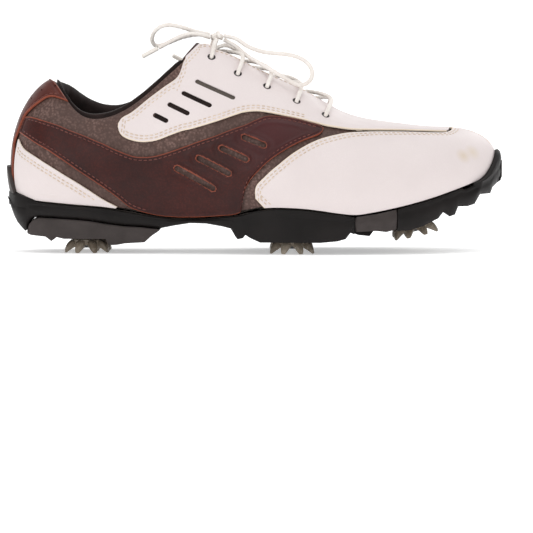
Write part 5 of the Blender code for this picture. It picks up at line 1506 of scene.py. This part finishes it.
def cleat_hub():
    """The dark hub, as (points, faces) and each face's material number."""
    low = CLEAT_HEIGHT - CLEAT_DISC_THICKNESS
    profile = [(2.2, low - 2.0), (5.6, low - 1.8), (7.0, low - 0.9), (8.9, low - 0.3),
               (CLEAT_DISC_RADIUS, low + 0.9), (CLEAT_DISC_RADIUS, CLEAT_HEIGHT - 0.3),
               (CLEAT_DISC_RADIUS - 0.4, CLEAT_HEIGHT)]
    angles = np.linspace(0.0, math.tau, HUB_SEGMENTS, endpoint=False)
    rings = [[(radius * math.cos(a), radius * math.sin(a), z) for a in angles] for radius, z in profile]
    dark_faces = 3 * HUB_SEGMENTS
    pale_faces = (len(profile) - 4) * HUB_SEGMENTS
    return tube_of_sections(rings), [1] * dark_faces + [0] * pale_faces + [1, 0]


def squared(value):
    """A sine or cosine, pushed outwards so that a circle becomes a rounded square."""
    return math.copysign(abs(value)**0.6, value)


def cleat_leg(angle):
    """One splayed leg with a rounded foot, as (points, faces)."""
    out = np.array([math.cos(angle), math.sin(angle), 0.0])
    across = np.array([-math.sin(angle), math.cos(angle), 0.0])
    sections = []
    for radius, top, bottom, half in LEG_SECTIONS:
        middle, rise = (top + bottom) / 2, (top - bottom) / 2
        section = []
        for a in np.linspace(0.0, math.tau, LEG_SEGMENTS, endpoint=False):
            height_here = np.array([0, 0, middle + rise * squared(math.sin(a))])
            section.append(out * radius + across * half * squared(math.cos(a)) + height_here)
        sections.append(section)
    return tube_of_sections(sections)


def cleat_mesh(name):
    """A dark domed hub with splayed legs round it."""
    hub, kinds = cleat_hub()
    legs = [cleat_leg(math.tau * (number + 0.5) / CLEAT_LEGS) for number in range(CLEAT_LEGS)]
    verts, faces = joined([hub] + legs)
    return mesh_of(name, verts, faces, kinds + [0] * (len(faces) - len(kinds)))


def build_cleats():
    for name, x, y, z, tilt in CLEATS:
        node = "cleat_" + name
        mesh = cleat_mesh(node)
        place = Matrix.Translation(Vector((x, y, z)) * MM) @ Matrix.Rotation(-math.radians(tilt), 4, "Y")
        mesh.transform(place)
        piece = add_piece("spikes_" + name, mesh, [SMOKED, BLACK_PLASTIC], node, sharp=45)
        dressed(piece, [node])


# ---------------------------------------------------------------- frame pieces that stay as they are

def dress_frame():
    """Give the CAD nodes that stay visible their procedural finishes."""
    finishes = {"dark_lining": LINING, "black_plastic": BLACK_PLASTIC, "foam": GREY_LAYER,
                "board": GREY_LAYER, "stiffener": GREY_LAYER, "spring_steel": DARK_METAL}
    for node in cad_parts.values():
        for slot in node.material_slots:
            for name, finish in finishes.items():
                if slot.material and slot.material.name.startswith(name):
                    slot.material = finish


# ---------------------------------------------------------------- studio

FRAME_WIDTH = 331.6             # what the picture spans at the shoe, in millimetres
AIM = (6.84, 0.0, -9.64)
CAMERA_DISTANCE = 2400.0
CAMERA_RISE = 3.0               # degrees above the floor
SENSOR = 36.0
# From here to the lights, lengths are in metres.
LIGHT_AIM = (0.0, 0.0, 0.06)
LIGHTS = [("overhead", (0.1, -0.3, 1.9), 1.8, 12.5), ("front", (-0.9, -1.9, 0.9), 1.2, 7.0),
          ("rim", (0.9, 1.2, 1.2), 0.9, 4.0)]
SWEEP_FRONT = -7.0
SWEEP_BACK = 5.0
SWEEP_RADIUS = 1.2
SWEEP_TOP = 6.0
SWEEP_HALF_WIDTH = 7.0
SWEEP_GLOW = 0.42
SURROUND = 0.68


def add_camera():
    data = bpy.data.cameras.new("camera")
    data.sensor_width = SENSOR
    data.lens = SENSOR * CAMERA_DISTANCE / FRAME_WIDTH
    data.clip_end = 20.0
    camera = bpy.data.objects.new("camera", data)
    bpy.context.scene.collection.objects.link(camera)
    rise = math.radians(CAMERA_RISE)
    back = Vector((0.0, -math.cos(rise), math.sin(rise)))
    camera.location = (Vector(AIM) + back * CAMERA_DISTANCE) * MM
    camera.rotation_euler = back.to_track_quat("Z", "Y").to_euler()
    bpy.context.scene.camera = camera


def add_light(name, place, size, power):
    data = bpy.data.lights.new(name, "AREA")
    data.shape = "SQUARE"
    data.size = size
    data.energy = power
    light = bpy.data.objects.new(name, data)
    light.location = place
    light.rotation_euler = (Vector(place) - Vector(LIGHT_AIM)).to_track_quat("Z", "Y").to_euler()
    bpy.context.scene.collection.objects.link(light)


def add_studio():
    """A white sweep, a pale surround, and soft lights from above, the front and behind."""
    made, tree, shader, place = new_finish("studio_white", 0.9)
    colour = ramp(tree, noise(tree, place, 1.5, 2.0), (0.3, (0.93, 0.93, 0.93)), (0.7, (0.95, 0.95, 0.95)))
    tree.links.new(colour, shader.inputs["Base Color"])
    shader.inputs["Emission Color"].default_value = (1.0, 1.0, 1.0, 1.0)
    shader.inputs["Emission Strength"].default_value = SWEEP_GLOW
    bm = bmesh.new()
    profile = [(SWEEP_FRONT, 0.0), (SWEEP_BACK, 0.0)]
    profile += [(SWEEP_BACK + SWEEP_RADIUS * math.sin(a), SWEEP_RADIUS - SWEEP_RADIUS * math.cos(a))
                for a in np.linspace(0.1, math.pi / 2, 14)]
    profile.append((SWEEP_BACK + SWEEP_RADIUS, SWEEP_TOP))
    rows = [[bm.verts.new((x, y, z)) for y, z in profile] for x in (-SWEEP_HALF_WIDTH, SWEEP_HALF_WIDTH)]
    for a, b, c, d in zip(rows[0], rows[0][1:], rows[1][1:], rows[1]):
        bm.faces.new((d, c, b, a))
    floor = add_piece("studio_sweep", mesh_from_bmesh("studio_sweep", bm), [made], None, sharp=60)
    world = bpy.data.worlds.new("studio_world")
    world.use_nodes = True
    background = world.node_tree.nodes["Background"]
    background.inputs["Color"].default_value = (1.0, 1.0, 1.0, 1.0)
    background.inputs["Strength"].default_value = SURROUND
    bpy.context.scene.world = world
    for light in LIGHTS:
        add_light(*light)
    bpy.context.scene.view_settings.view_transform = "Standard"


add_camera()
build_lace()
build_facings()
build_toe_guard()
for shoe_side in (LATERAL, MEDIAL):
    build_saddle(shoe_side)
    build_heel_panel(shoe_side)
    build_quarter(shoe_side)
    build_flex_block(shoe_side)
build_slot_backs()
build_backstay()
build_collar()
build_tongue()
build_eyelets()
build_outsole()
build_heel_plate()
build_heel_tab()
build_cleats()
dress_frame()
add_studio()
